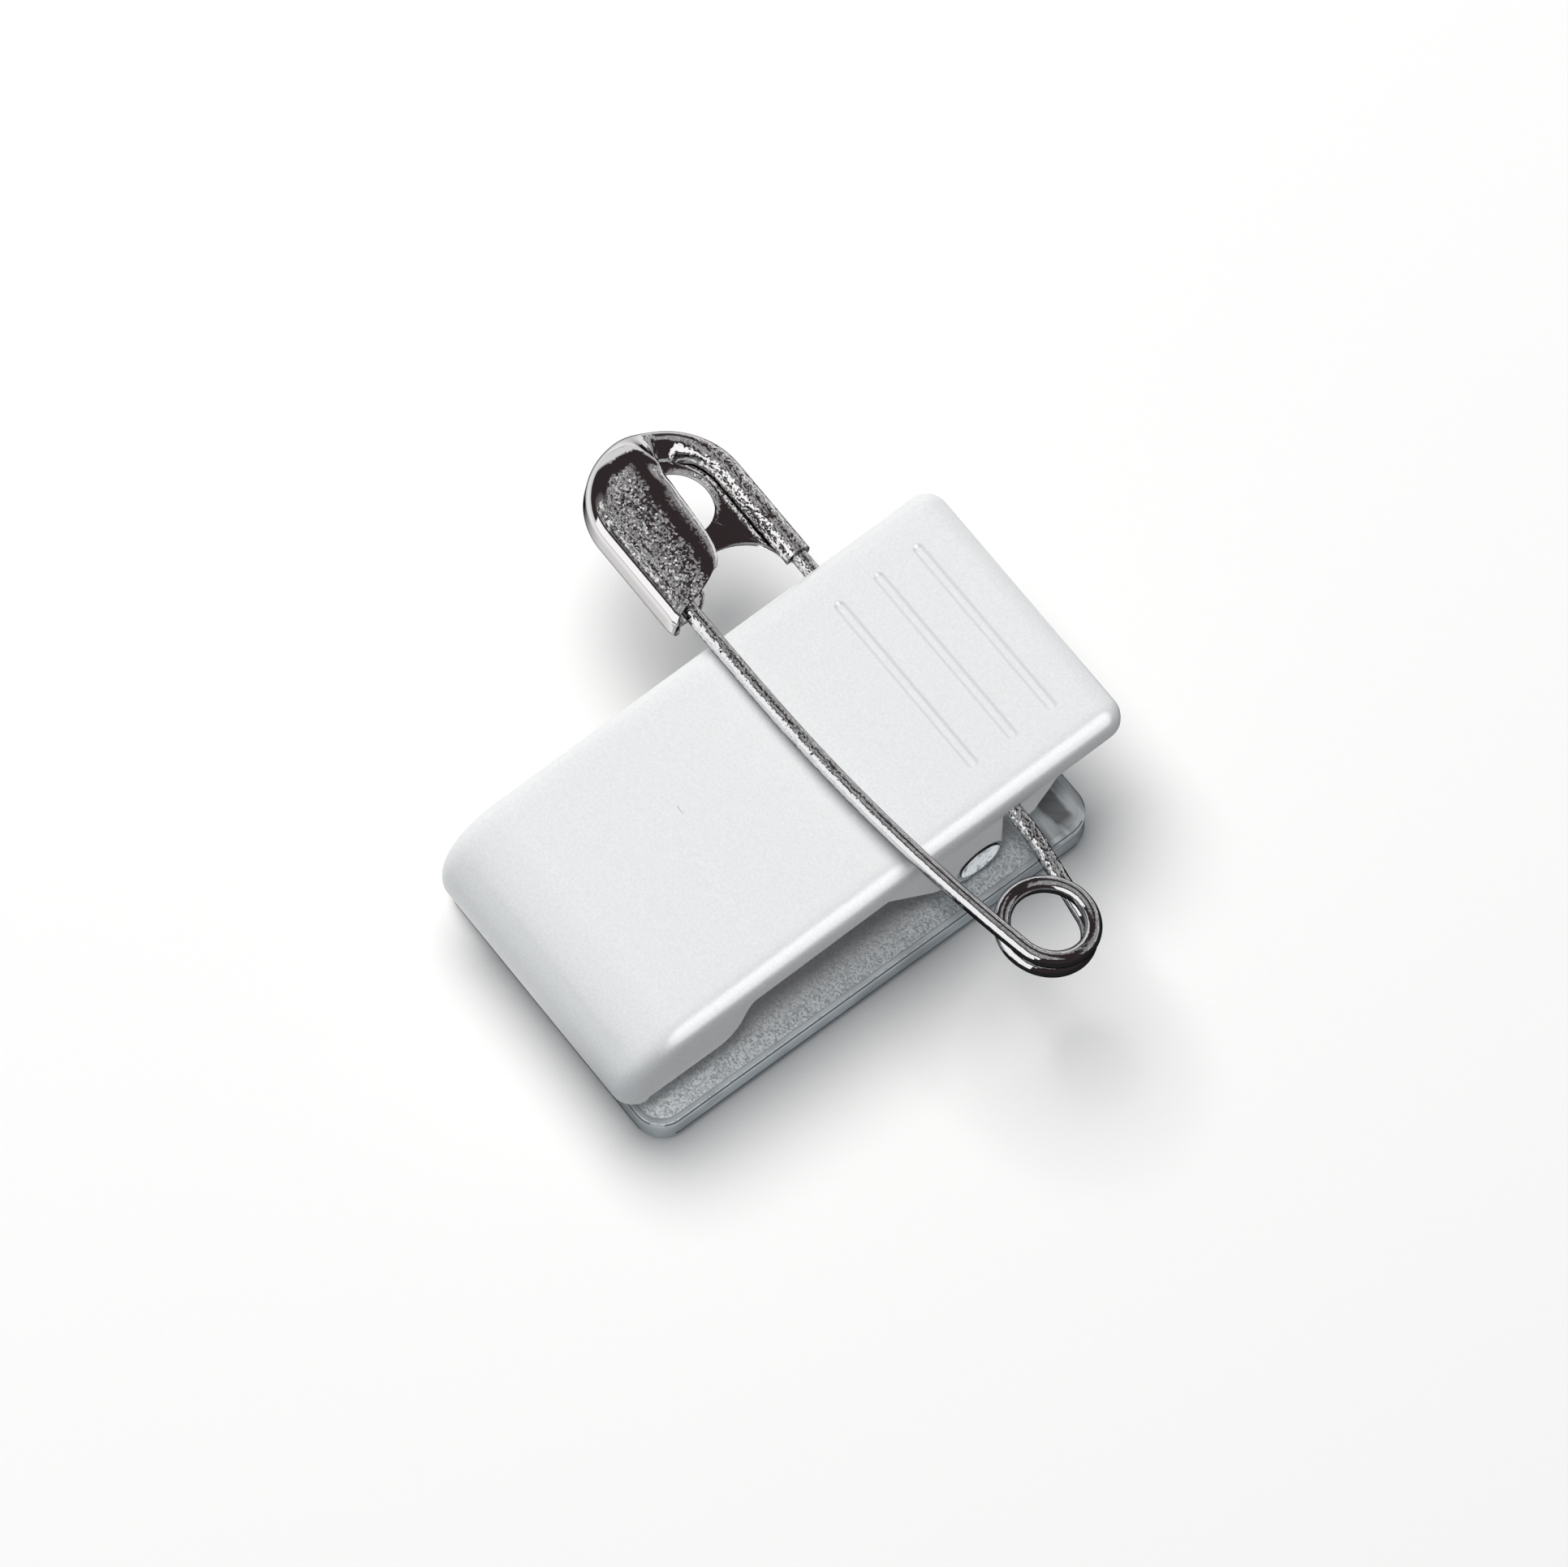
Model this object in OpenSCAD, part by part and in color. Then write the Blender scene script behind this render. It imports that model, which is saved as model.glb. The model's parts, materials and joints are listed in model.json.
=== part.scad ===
// Clip pin: a white lever jaw on a clear base, with a safety pin through the jaw.
// Millimetres. The origin is the centre of the base's underside and +Z is up.
// The nose of the jaws points to -Y, the pin's coil to +X and its cap to -X.

/* [Lower jaw] */
// Width of the clear base, along X
base_width = 14.56; // [12:0.01:17]
// Length of the clear base, along Y
base_length = 22.55; // [18:0.01:27]
// Thickness of the clear base
base_thickness = 1.2; // [0.8:0.05:1.8]
// Plan radius of the base's corners
base_corner = 1.3; // [0.5:0.05:2.5]
// Radius of the base's upper edges
base_edge = 0.35; // [0.1:0.05:0.6]
// Y where the thicker strip at the finger end begins
strip_start = 8.83; // [7:0.01:10.5]
// Thickness of that strip
strip_thickness = 1.7; // [1.2:0.05:2.2]
// X of the inner face of each clear ear
clear_ear_inner = 4.1; // [3:0.05:4.5]
// X of the outer face of each clear ear
clear_ear_outer = 5.1; // [4.6:0.05:5.2]
// Half width of each clear ear, and the radius of its round top
clear_ear_radius = 1.9; // [1.4:0.05:2.2]
// Radius of the pivot boss on each clear ear
boss_radius = 1.05; // [0.8:0.01:1.2]
// X of the outer end of each boss
boss_end = 6.38; // [6.2:0.01:6.6]

/* [Pivot] */
// Y of the pivot line
pivot_y = 5.91; // [4:0.01:8]
// Z of the pivot line
pivot_z = 3.05; // [2.5:0.01:4]
// Running gap between a boss and its hole, on the radius
pivot_gap = 0.05; // [0.02:0.01:0.1]

/* [Upper jaw] */
// Width of the white jaw
jaw_width = 13; // [11:0.01:15]
// Pitch of the jaw's top, rising to the finger end, degrees
jaw_pitch = 2.75; // [0:0.05:5]
// Radius of the nose, seen from the side
nose_radius = 3.3; // [2.5:0.05:4]
// Y of the nose's centre
nose_y = -8.73; // [-10:0.01:-7]
// Z of the nose's centre
nose_z = 3.76; // [3:0.01:5]
// How far the nose runs on below its centre, degrees
nose_past = 3; // [0:0.5:8]
// Y of the finger end
jaw_rear = 13.3; // [11:0.01:15]
// Radius of the jaw's upper edges
jaw_edge = 1; // [0.4:0.05:1.4]
// Plan radius of the corners at the finger end
jaw_corner = 1; // [0.4:0.05:2]
// Thickness of the jaw's plate
plate_thickness = 1; // [0.7:0.05:1.4]
// Height of the skirt below the jaw's top
skirt_height = 1.3; // [1.1:0.05:2]
// Thickness of the skirt and cheeks
skirt_thickness = 0.9; // [0.6:0.05:1.2]
// Z of the cheeks' lower edge
cheek_bottom = 3.72; // [3.2:0.01:4.2]
// X of the inner face of each white ear
ear_inner = 5.35; // [5.2:0.01:5.6]
// X of the outer face of each white ear
ear_outer = 6.35; // [6:0.01:6.5]
// Half length of the bite rib inside the nose
rib_half = 5.2; // [3:0.1:5.4]
// Z of the bite rib's lower edge
rib_bottom = 1.32; // [1.25:0.01:1.6]
// Number of finger grooves
groove_count = 3; // [0:1:5]
// Y of the first finger groove
groove_start = 7.01; // [5:0.01:9]
// Spacing of the finger grooves
groove_pitch = 1.99; // [1:0.01:3]
// Half length of a groove between its end centres
groove_half = 4.3; // [2:0.1:5]
// Width of a groove
groove_width = 0.4; // [0.2:0.05:0.8]
// Depth of a groove
groove_depth = 0.12; // [0.05:0.01:0.3]

/* [Pin wire] */
// Radius of the pin's wire
wire_radius = 0.36; // [0.25:0.01:0.5]
// Running gap between the wire and its bores, on the radius
wire_gap = 0.05; // [0.02:0.01:0.1]
// Y of the back wire
spine_y = 7.43; // [7:0.01:8]
// Z of the back wire
spine_z = 6.35; // [6:0.01:6.5]
// Tilt of the pin about its back wire, arm side up, degrees
pin_tilt = 13; // [0:0.5:20]
// X of the cap end of the back wire
spine_start = -12.1; // [-13:0.1:-9]
// X where the back wire starts to bend toward the coil
spine_bend = 6.6; // [6.5:0.05:8]
// Radius of that bend
bend_radius = 12; // [5:0.5:20]
// X of the coil's centre
coil_x = 11.45; // [10:0.01:13]
// Distance of the coil's centre from the back wire
coil_offset = 2.45; // [2:0.01:3]
// Centreline radius of the coil
coil_radius = 1.82; // [1.2:0.01:2.5]
// Rise of the coil in one turn
coil_pitch = 0.75; // [0.73:0.01:1]
// Angle at which the arm leaves the coil, degrees
arm_exit = 12.1; // [5:0.1:20]
// Largest distance of the arm from the back wire
arm_offset = 5.62; // [5:0.01:6.5]
// X where the arm is farthest from the back wire
arm_far_x = -4; // [-8:0.5:0]
// Height of the arm's cap end over the back wire, square to the pin
arm_height = 0.43; // [0.3:0.01:0.6]
// X where the arm comes down to that height
arm_low_x = -7; // [-9:0.5:-4]
// X of the pin's point
point_x = -13.2; // [-14:0.1:-10]
// Length of the pin's taper
point_length = 2.6; // [1:0.1:5]
// Radius of the pin's point
point_radius = 0.07; // [0.03:0.01:0.15]

/* [Pin cap] */
// Thickness of the cap's sheet
sheet = 0.22; // [0.15:0.01:0.35]
// Outer radius of the cap's round end
cap_radius = 3.6; // [3:0.01:4]
// X of the centre of the round end
cap_x = -12.3; // [-14:0.01:-10]
// Distance of that centre from the back wire
cap_offset = 3.05; // [2.5:0.01:3.5]
// Lower face of the cap, square to the pin
cap_bottom = -0.53; // [-0.6:0.01:-0.45]
// Upper face of the cap, square to the pin
cap_top = 1.15; // [1:0.01:1.4]
// Outer radius of the folds
fold_radius = 0.6; // [0.4:0.05:0.8]
// How far the folded channel reaches inward
channel_depth = 1; // [0.7:0.05:1.5]
// How far the fold runs past the end toward the back wire, degrees
fold_past = 30; // [0:1:60]
// How far the tube runs round the cap's end, degrees
tube_turn = 48; // [20:1:58]
// Outer radius of the tube round the back wire
tube_radius = 0.55; // [0.5:0.01:0.7]
// X of the tube's mouth
tube_mouth = -7.6; // [-9:0.05:-7.4]
// X of the wall's mouth
wall_mouth = -7.5; // [-9:0.05:-7.4]
// Distance of the lip's straight edge from the back wire
lip_edge = 2.95; // [2:0.05:4]
// Radius of the lip's corner
lip_corner = 1.85; // [0.5:0.05:2.5]
// X of the centre of the lip's corner
lip_corner_x = -9.95; // [-11:0.05:-9]
// X of the lip's end beside the arm
lip_end = -8.1; // [-9:0.05:-7.5]
// Radius of the hole in the back sheet
hole_radius = 1.55; // [1:0.05:2]
// X of that hole
hole_x = -12.35; // [-13:0.05:-11]
// Distance of that hole from the back wire
hole_offset = 2.6; // [2:0.05:3.5]
// Radius of the hollow in the back sheet's mouth
mouth_radius = 2.66; // [2:0.01:4]
// X of the centre of that hollow
mouth_x = -7.09; // [-8:0.01:-6]
// Distance of the centre of that hollow from the back wire
mouth_offset = 2.7; // [2:0.05:3.5]

/* [Jaw spring] */
// Radius of the spring's wire
spring_wire = 0.2; // [0.15:0.01:0.3]
// Centreline radius of the spring's coil
spring_radius = 1.15; // [0.8:0.05:1.5]
// Half length of the spring's coil
spring_half = 1.8; // [1:0.1:3]
// Whole turns of the spring besides its part turn
spring_turns = 3; // [1:1:6]
// Y of the tip of the lower leg, short of the thicker strip
lower_tip_y = 8.4; // [7.5:0.1:8.6]
// Y of the tip of the upper leg
upper_tip_y = 9.8; // [8:0.1:11]
// Gap between each leg's tip and the plastic it bears on
leg_gap = 0.06; // [0.03:0.01:0.2]

/* [Hidden] */
$fn = 64;
wire_sides = 12;
spring_sides = 8;
wire_step = 12;
spring_step = 20;
arm_steps = 30;
taper_steps = 6;
bend_steps = 3;
point_inset = 0.005;
overlap = 0.3;
wall_step = 0.01;
ear_top = 7;
bridge_low = 5.9;
slot_low = 3;
cheek_top = 6.4;
taper_power = 0.6;
bridge_inset = 0.12;
bridge_lap = 2;
cut = 20;
boss_hole = boss_radius + pivot_gap;
wire_hole = wire_radius + wire_gap;
jaw_half = jaw_width / 2;
skirt_inner = jaw_half - skirt_thickness;
jaw_length = (jaw_rear - nose_y) / cos(jaw_pitch) + nose_radius * tan(jaw_pitch);
fold_inner = fold_radius - sheet;
plate_inset = (fold_radius + channel_depth) / 2;
bore_start = spine_start - 0.1;
cap_outer = cap_offset + cap_radius;

// Height of the jaw's top over a given y
function top_z(y) = nose_z + nose_radius / cos(jaw_pitch) + (y - nose_y) * tan(jaw_pitch);
// Distance along the jaw's own axis to a point of its top over a given y
function along_jaw(y) = (y - nose_y) / cos(jaw_pitch) + nose_radius * tan(jaw_pitch);

// Side profile of each white ear in front of the back wire, from the skirt down
ear_front = [
    [0.6, ear_top], [0.6, 6.35], [1.195, 5.78], [3.505, 3.2], [4.555, 2.475], [5.19, 2.035], [5.6, 2.035],
    [pivot_y, pivot_z], [spine_y - wire_hole, 3.45], [spine_y - wire_hole, ear_top]
];
// Side profile of each white ear behind the back wire
ear_rear = [
    [spine_y + wire_hole, 4.42], [8.365, 4.3], [8.655, 4.38], [8.895, 4.81], [9.445, 5.61],
    [9.835, 6.315], [10.2, ear_top], [spine_y, ear_top], [spine_y, bridge_low],
    [spine_y + wire_hole, bridge_low]
];
// Lower edge of each cheek from the nose back to the skirt
cheek = [
    [nose_y, cheek_bottom], [-7.4, cheek_bottom], [-7.1, 3.8], [-6.75, 4.05], [-6.4, 4.5],
    [-6.12, 5.15], [-5.9, 5.65], [-5.6, 5.95], [-5.6, cheek_top], [nose_y, cheek_top]
];
// Side profile of the bite rib
rib = [
    [-11.1, 6], [-10.95, rib_bottom + 0.3], [-10.75, rib_bottom], [-10.35, rib_bottom],
    [-10.15, rib_bottom + 0.3], [-9.8, 6.6]
];

module along_x(from, to) {
    translate([from, 0, 0])
        rotate([90, 0, 90])
            linear_extrude(to - from)
                children();
}

module along_y(from, to) {
    translate([0, to, 0])
        rotate([90, 0, 0])
            linear_extrude(to - from)
                children();
}

module both_sides() {
    children();
    mirror([1, 0, 0])
        children();
}

module rounded_rect(width, length, radius) {
    square([width - 2 * radius, length], center = true);
    square([width, length - 2 * radius], center = true);
    for (sx = [-1, 1], sy = [-1, 1])
        translate([sx * (width / 2 - radius), sy * (length / 2 - radius)])
            circle(radius);
}

// A profile from z = low to z = high over a span, with its two upper corners rounded
module domed(from, to, low, high, radius) {
    translate([from, low])
        square([to - from, high - radius - low]);
    translate([from + radius, low])
        square([to - from - 2 * radius, high - low]);
    for (x = [from + radius, to - radius])
        translate([x, high - radius])
            circle(radius);
}

// A round wire through a list of points; up is never along the wire
module sweep(points, radii, up, sides) {
    last = len(points) - 1;
    rings = [
        for (i = [0:last])
            let (
                before = points[max(i - 1, 0)],
                after = points[min(i + 1, last)],
                run = after - before,
                ahead = run / norm(run),
                across = cross(up, ahead) / norm(cross(up, ahead)),
                rise = cross(ahead, across)
            )
            for (k = [0:sides - 1])
                points[i] + radii[i] * (cos(360 * k / sides) * across + sin(360 * k / sides) * rise)
    ];
    side_faces = [
        for (i = [0:last - 1])
            for (k = [0:sides - 1])
                let (
                    a = i * sides + k,
                    b = i * sides + (k + 1) % sides
                )
                for (face = [[a, a + sides, b + sides], [a, b + sides, b]])
                    face
    ];
    start_face = [for (k = [0:sides - 1]) k];
    end_face = [for (k = [sides - 1:-1:0]) last * sides + k];
    polyhedron(rings, concat([start_face], side_faces, [end_face]));
}

module base() {
    half_width = base_width / 2;
    half_length = base_length / 2;
    intersection() {
        linear_extrude(strip_thickness)
            rounded_rect(base_width, base_length, base_corner);
        along_y(-half_length, half_length)
            domed(-half_width, half_width, 0, strip_thickness, base_edge);
        along_x(-half_width, half_width)
            union() {
                domed(-half_length, strip_start + 1, 0, base_thickness, base_edge);
                domed(strip_start, half_length, 0, strip_thickness, base_edge);
            }
    }
}

module clear_ear() {
    along_x(clear_ear_inner, clear_ear_outer)
        union() {
            translate([pivot_y - clear_ear_radius, base_thickness / 2])
                square([2 * clear_ear_radius, pivot_z - base_thickness / 2]);
            translate([pivot_y, pivot_z])
                circle(clear_ear_radius);
        }
    translate([(clear_ear_inner + clear_ear_outer) / 2, pivot_y, pivot_z])
        rotate([0, 90, 0])
            cylinder(h = boss_end - (clear_ear_inner + clear_ear_outer) / 2, r = boss_radius);
}

module lower_jaw() {
    color([0.86, 0.88, 0.9, 0.4])
        union() {
            base();
            both_sides()
                clear_ear();
        }
}

module in_jaw() {
    translate([0, nose_y, nose_z])
        rotate([jaw_pitch, 0, 0])
            children();
}

// The nose: the jaw's hollow section turned about the nose's centre
module nose() {
    plain = nose_radius - jaw_edge;
    translate([0, nose_y, nose_z])
        rotate([90, 0, 90])
            rotate([0, 0, 90 + jaw_pitch])
                rotate_extrude(angle = 90 - jaw_pitch + nose_past)
                    difference() {
                        union() {
                            translate([0, -jaw_half])
                                square([plain, jaw_width]);
                            translate([0, jaw_edge - jaw_half])
                                square([nose_radius, jaw_width - 2 * jaw_edge]);
                            for (side = [-1, 1])
                                translate([plain, side * (jaw_half - jaw_edge)])
                                    circle(jaw_edge);
                        }
                        translate([0, -skirt_inner])
                            square([nose_radius - plate_thickness, 2 * skirt_inner]);
                    }
}

// The flat part of the jaw: plate and skirt in one
module plate() {
    skirt_low = nose_radius - skirt_height;
    in_jaw()
        difference() {
            intersection() {
                along_y(0, jaw_length)
                    domed(-jaw_half, jaw_half, skirt_low, nose_radius, jaw_edge);
                along_x(-jaw_half, jaw_half)
                    domed(-cut, jaw_length, skirt_low, nose_radius, jaw_edge);
                translate([0, (jaw_length - cut) / 2, skirt_low])
                    linear_extrude(skirt_height)
                        rounded_rect(jaw_width, jaw_length + cut, jaw_corner);
            }
            translate([-skirt_inner, -overlap, 0])
                cube([2 * skirt_inner, jaw_length - skirt_thickness + overlap,
                      nose_radius - plate_thickness]);
        }
}

module grooves() {
    in_jaw()
        for (i = [0:groove_count - 1])
            translate([0, along_jaw(groove_start + i * groove_pitch), nose_radius - groove_depth])
                linear_extrude(1)
                    union() {
                        square([2 * groove_half, groove_width], center = true);
                        for (side = [-1, 1])
                            translate([side * groove_half, 0])
                                circle(groove_width / 2);
                    }
}

module white_ear() {
    along_x(ear_inner, ear_outer)
        union() {
            polygon(ear_front);
            polygon(ear_rear);
            translate([spine_y - wire_hole - overlap, bridge_low])
                square([2 * (wire_hole + overlap), ear_top - bridge_low]);
        }
}

// The bore and the open slot that hold the back wire in one ear
module wire_slot() {
    translate([ear_inner - overlap, spine_y, spine_z])
        rotate([0, 90, 0])
            cylinder(h = jaw_half - ear_inner + 2 * overlap, r = wire_hole);
    translate([ear_inner - overlap, spine_y - wire_hole, slot_low])
        cube([jaw_half - ear_inner + 2 * overlap, 2 * wire_hole, spine_z - slot_low]);
}

module boss_bore() {
    translate([ear_inner - overlap, pivot_y, pivot_z])
        rotate([0, 90, 0])
            cylinder(h = jaw_half - ear_inner + 2 * overlap, r = boss_hole);
}

module upper_jaw() {
    color([0.93, 0.94, 0.95])
        difference() {
            union() {
                plate();
                nose();
                both_sides()
                    along_x(skirt_inner, jaw_half)
                        polygon(cheek);
                both_sides()
                    white_ear();
                along_x(-rib_half, rib_half)
                    polygon(rib);
            }
            both_sides() {
                wire_slot();
                boss_bore();
            }
            grooves();
        }
}

module in_pin() {
    translate([0, spine_y, spine_z])
        rotate([-pin_tilt, 0, 0])
            children();
}

// The wire's path in the pin's own frame: x along the back wire, -y toward the arm, z square
// to the pin. The bend, the coil and the arm meet at their tangents.
bend_to_coil = [coil_x - spine_bend, bend_radius - coil_offset];
bend_angle = atan2(bend_to_coil[0], bend_to_coil[1])
    - acos((bend_radius - coil_radius) / norm(bend_to_coil));
coil_first = 90 - bend_angle;
coil_last = -450 + arm_exit;
coil_count = ceil((coil_first - coil_last) / wire_step);
arm_start_x = coil_x + coil_radius * cos(coil_last);
arm_start_offset = coil_offset - coil_radius * sin(coil_last);
arm_start_height = coil_pitch * (coil_first - coil_last) / 360;
arm_run = arm_start_x - arm_far_x;
arm_drop = arm_offset - arm_start_offset;
arm_power = tan(arm_exit) * arm_run / arm_drop;

function coil_point(angle) = [
    coil_x + coil_radius * cos(angle),
    -coil_offset + coil_radius * sin(angle),
    coil_pitch * (coil_first - angle) / 360
];

function ease(t) = t * t * (3 - 2 * t);

function arm_point(x) = [
    x,
    -arm_offset + arm_drop * pow(max(x - arm_far_x, 0) / arm_run, arm_power),
    arm_height + (arm_start_height - arm_height)
        * ease(min(max((x - arm_low_x) / (arm_start_x - arm_low_x), 0), 1))
];

taper_start = point_x + point_length;
bend_path = [
    for (i = [0:bend_steps])
        let (a = bend_angle * i / bend_steps)
            [spine_bend + bend_radius * sin(a), -bend_radius * (1 - cos(a)), 0]
];
coil_path = [
    for (i = [0:coil_count])
        coil_point(coil_first + (coil_last - coil_first) * i / coil_count)
];
arm_path = [
    for (i = [1:arm_steps])
        arm_point(arm_start_x + (taper_start - arm_start_x) * i / arm_steps)
];
taper_path = [
    for (i = [1:taper_steps])
        arm_point(taper_start + (point_x - taper_start) * i / taper_steps)
];
wire_path = concat([[spine_bend - overlap, 0, 0]], bend_path, coil_path, arm_path, taper_path);
full_count = len(wire_path) - taper_steps;
swept_radius = wire_radius - point_inset;
wire_radii = [
    for (i = [0:len(wire_path) - 1])
        i < full_count ? swept_radius
            : point_radius + (swept_radius - point_radius)
                * pow((len(wire_path) - 1 - i) / taper_steps, taper_power)
];

module pin_wire() {
    color([0.75, 0.75, 0.76])
        in_pin()
            union() {
                translate([spine_start, 0, 0])
                    rotate([0, 90, 0])
                        cylinder(h = spine_bend - spine_start, r = wire_radius);
                sweep(wire_path, wire_radii, [0, 0, 1], wire_sides);
            }
}

// Section of the folded channel, its inner end at x = from, y square to the pin
module channel_section(from, inward) {
    mid = (cap_bottom + cap_top) / 2;
    tall = cap_top - cap_bottom;
    difference() {
        translate([from, mid])
            rounded_rect(2 * channel_depth, tall, fold_radius);
        translate([from, mid])
            rounded_rect(2 * channel_depth - 2 * sheet, tall - 2 * sheet, fold_inner);
        translate([from + inward * cut / 2, mid])
            square([cut, cut], center = true);
    }
}

module channel() {
    translate([cap_x, -cap_offset, 0])
        rotate([0, 0, 180 - fold_past])
            rotate_extrude(angle = 90 + fold_past)
                channel_section(cap_radius - channel_depth, -1);
    translate([cap_x - overlap, 0, 0])
        rotate([90, 0, 90])
            linear_extrude(wall_mouth - cap_x + overlap)
                channel_section(channel_depth - cap_outer - wall_step, 1);
}

module lip_plan() {
    intersection() {
        union() {
            translate([cap_x, -cap_offset])
                circle(cap_radius - plate_inset);
            translate([cap_x, plate_inset - cap_outer])
                square([lip_end - cap_x, cap_outer - plate_inset]);
        }
        union() {
            translate([cap_x - cut, -cut - lip_edge])
                square([lip_corner_x - cap_x + cut, cut]);
            translate([lip_corner_x, -lip_edge - lip_corner])
                circle(lip_corner);
            translate([lip_corner_x, -cut - lip_edge - lip_corner])
                square([lip_end - lip_corner_x, cut]);
        }
    }
}

module back_plan() {
    difference() {
        union() {
            translate([cap_x, -cap_offset])
                circle(cap_radius - plate_inset);
            translate([cap_x, plate_inset - cap_outer])
                square([tube_mouth - cap_x, cap_outer - plate_inset]);
        }
        translate([hole_x, -hole_offset])
            circle(hole_radius);
        translate([mouth_x, -mouth_offset])
            circle(mouth_radius);
    }
}

// The strip of sheet between the end of the fold and the end of the tube
module bridge_plan() {
    intersection() {
        circle(cap_radius - bridge_inset);
        polygon([
            [0, 0],
            [cut * cos(90 + tube_turn - bridge_lap), cut * sin(90 + tube_turn - bridge_lap)],
            [cut * cos(180 - fold_past + bridge_lap), cut * sin(180 - fold_past + bridge_lap)]
        ]);
    }
}

module pin_cap() {
    color([0.7, 0.7, 0.71])
        in_pin()
            difference() {
                union() {
                    channel();
                    translate([0, 0, cap_top - sheet])
                        linear_extrude(sheet)
                            lip_plan();
                    translate([0, 0, cap_bottom])
                        linear_extrude(sheet)
                            back_plan();
                    translate([cap_x, 0, 0])
                        rotate([0, 90, 0])
                            cylinder(h = tube_mouth - cap_x, r = tube_radius);
                    translate([cap_x, -cap_offset, 0])
                        rotate([0, 0, 90])
                            rotate_extrude(angle = tube_turn)
                                translate([cap_offset, 0])
                                    circle(tube_radius);
                    translate([cap_x, -cap_offset, cap_bottom])
                        linear_extrude(sheet)
                            bridge_plan();
                }
                translate([bore_start, 0, 0])
                    rotate([0, 90, 0])
                        cylinder(h = tube_mouth - bore_start + overlap, r = wire_hole);
            }
}

// The spring's path: y and z of the pivot's frame with the advance along x
lower_tip = [lower_tip_y - pivot_y, base_thickness + spring_wire + leg_gap - pivot_z];
upper_tip = [
    upper_tip_y - pivot_y,
    top_z(upper_tip_y) - (plate_thickness + spring_wire + leg_gap) / cos(jaw_pitch) - pivot_z
];
upper_heading = atan2(upper_tip[1], upper_tip[0]) - asin(spring_radius / norm(upper_tip));
lower_heading = atan2(lower_tip[1], lower_tip[0]) + asin(spring_radius / norm(lower_tip));
spring_first = lower_heading - 90;
spring_last = upper_heading + 90 - 360 * (spring_turns + 1);
spring_count = ceil((spring_first - spring_last) / spring_step);
spring_path = concat(
    [[-spring_half, pivot_y + lower_tip[0], pivot_z + lower_tip[1]]],
    [
        for (i = [0:spring_count])
            let (a = spring_first + (spring_last - spring_first) * i / spring_count)
                [-spring_half + 2 * spring_half * i / spring_count,
                 pivot_y + spring_radius * cos(a), pivot_z + spring_radius * sin(a)]
    ],
    [[spring_half, pivot_y + upper_tip[0], pivot_z + upper_tip[1]]]
);

module jaw_spring() {
    color([0.6, 0.6, 0.62])
        sweep(spring_path, [for (p = spring_path) spring_wire], [1, 0, 0], spring_sides);
}

// Which piece is drawn

lower_jaw();
upper_jaw();
jaw_spring();
pin_wire();
pin_cap();
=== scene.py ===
import json
from math import acos, asin, atan2, cos, exp, hypot, pi, radians, sin, sqrt, tan

import bmesh
import bpy
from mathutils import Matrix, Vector

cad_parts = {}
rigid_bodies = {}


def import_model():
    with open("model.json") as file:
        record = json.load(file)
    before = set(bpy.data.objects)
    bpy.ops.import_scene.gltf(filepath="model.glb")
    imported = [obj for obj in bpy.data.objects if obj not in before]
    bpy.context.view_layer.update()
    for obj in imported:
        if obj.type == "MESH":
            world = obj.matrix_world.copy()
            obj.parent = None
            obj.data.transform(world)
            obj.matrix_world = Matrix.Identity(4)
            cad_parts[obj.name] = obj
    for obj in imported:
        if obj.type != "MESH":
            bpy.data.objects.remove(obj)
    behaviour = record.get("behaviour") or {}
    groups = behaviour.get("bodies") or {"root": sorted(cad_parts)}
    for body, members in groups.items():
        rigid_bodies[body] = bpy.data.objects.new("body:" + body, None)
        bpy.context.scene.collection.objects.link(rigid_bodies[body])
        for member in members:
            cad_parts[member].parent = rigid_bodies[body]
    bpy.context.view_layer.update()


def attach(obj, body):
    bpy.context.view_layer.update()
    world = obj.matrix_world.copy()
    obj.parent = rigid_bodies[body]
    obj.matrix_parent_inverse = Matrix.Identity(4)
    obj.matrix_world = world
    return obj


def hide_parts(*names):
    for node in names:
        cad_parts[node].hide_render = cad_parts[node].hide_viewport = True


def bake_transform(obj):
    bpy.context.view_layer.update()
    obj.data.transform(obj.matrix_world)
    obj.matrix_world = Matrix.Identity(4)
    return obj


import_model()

# Lengths are in millimetres, and the main ones of the forms are the CAD's
MM = 0.001

# Camera: the photograph's view, found from the base's and the jaw's corners
VIEW_AZIMUTH = radians(52.355)
VIEW_ELEVATION = radians(67.568)
VIEW_DISTANCE = 369.79
VIEW_AIM = (-1.761, 2.177, 1.193)
LENS = 208.9
SENSOR = 36.0

# Lights, with their power in watts. All but the key reach a single piece.
LIGHTS = {
    "key": {"direction": (-0.37, 0.05, 0.92), "size": 400.0, "power": 2.76,
            "colour": (1.0, 0.992, 0.982)},
    "over": {"direction": (0.17, -0.20, 1.0), "size": 90.0, "power": 0.95},
    # it makes only the highlight on the jaw's edge
    "side": {"direction": (0.79, 0.235, 0.57), "distance": 170.0, "size": 210.0, "power": 0.88,
             "aim": (6.0, -2.0, 6.0), "glossy": True, "diffuse": False},
    "fill": {"direction": (-0.1, -0.98, 0.12), "size": 260.0, "power": 0.12,
             "colour": (0.55, 0.86, 1.0)},
    "low": {"direction": (0.93, -0.35, 0.14), "size": 200.0, "power": 0.85,
            "colour": (0.84, 0.95, 1.0)},
}

# Studio: the sky's strength on surfaces and through the clear plastic, and its colours by height
SKY_DIFFUSE = 0.19
SKY_THROUGH = 1.0
SKY = [(0.0, (0.12, 0.18, 0.23)), (0.5, (0.66, 0.82, 0.95)), (1.0, (1.56, 1.56, 1.58))]
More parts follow.
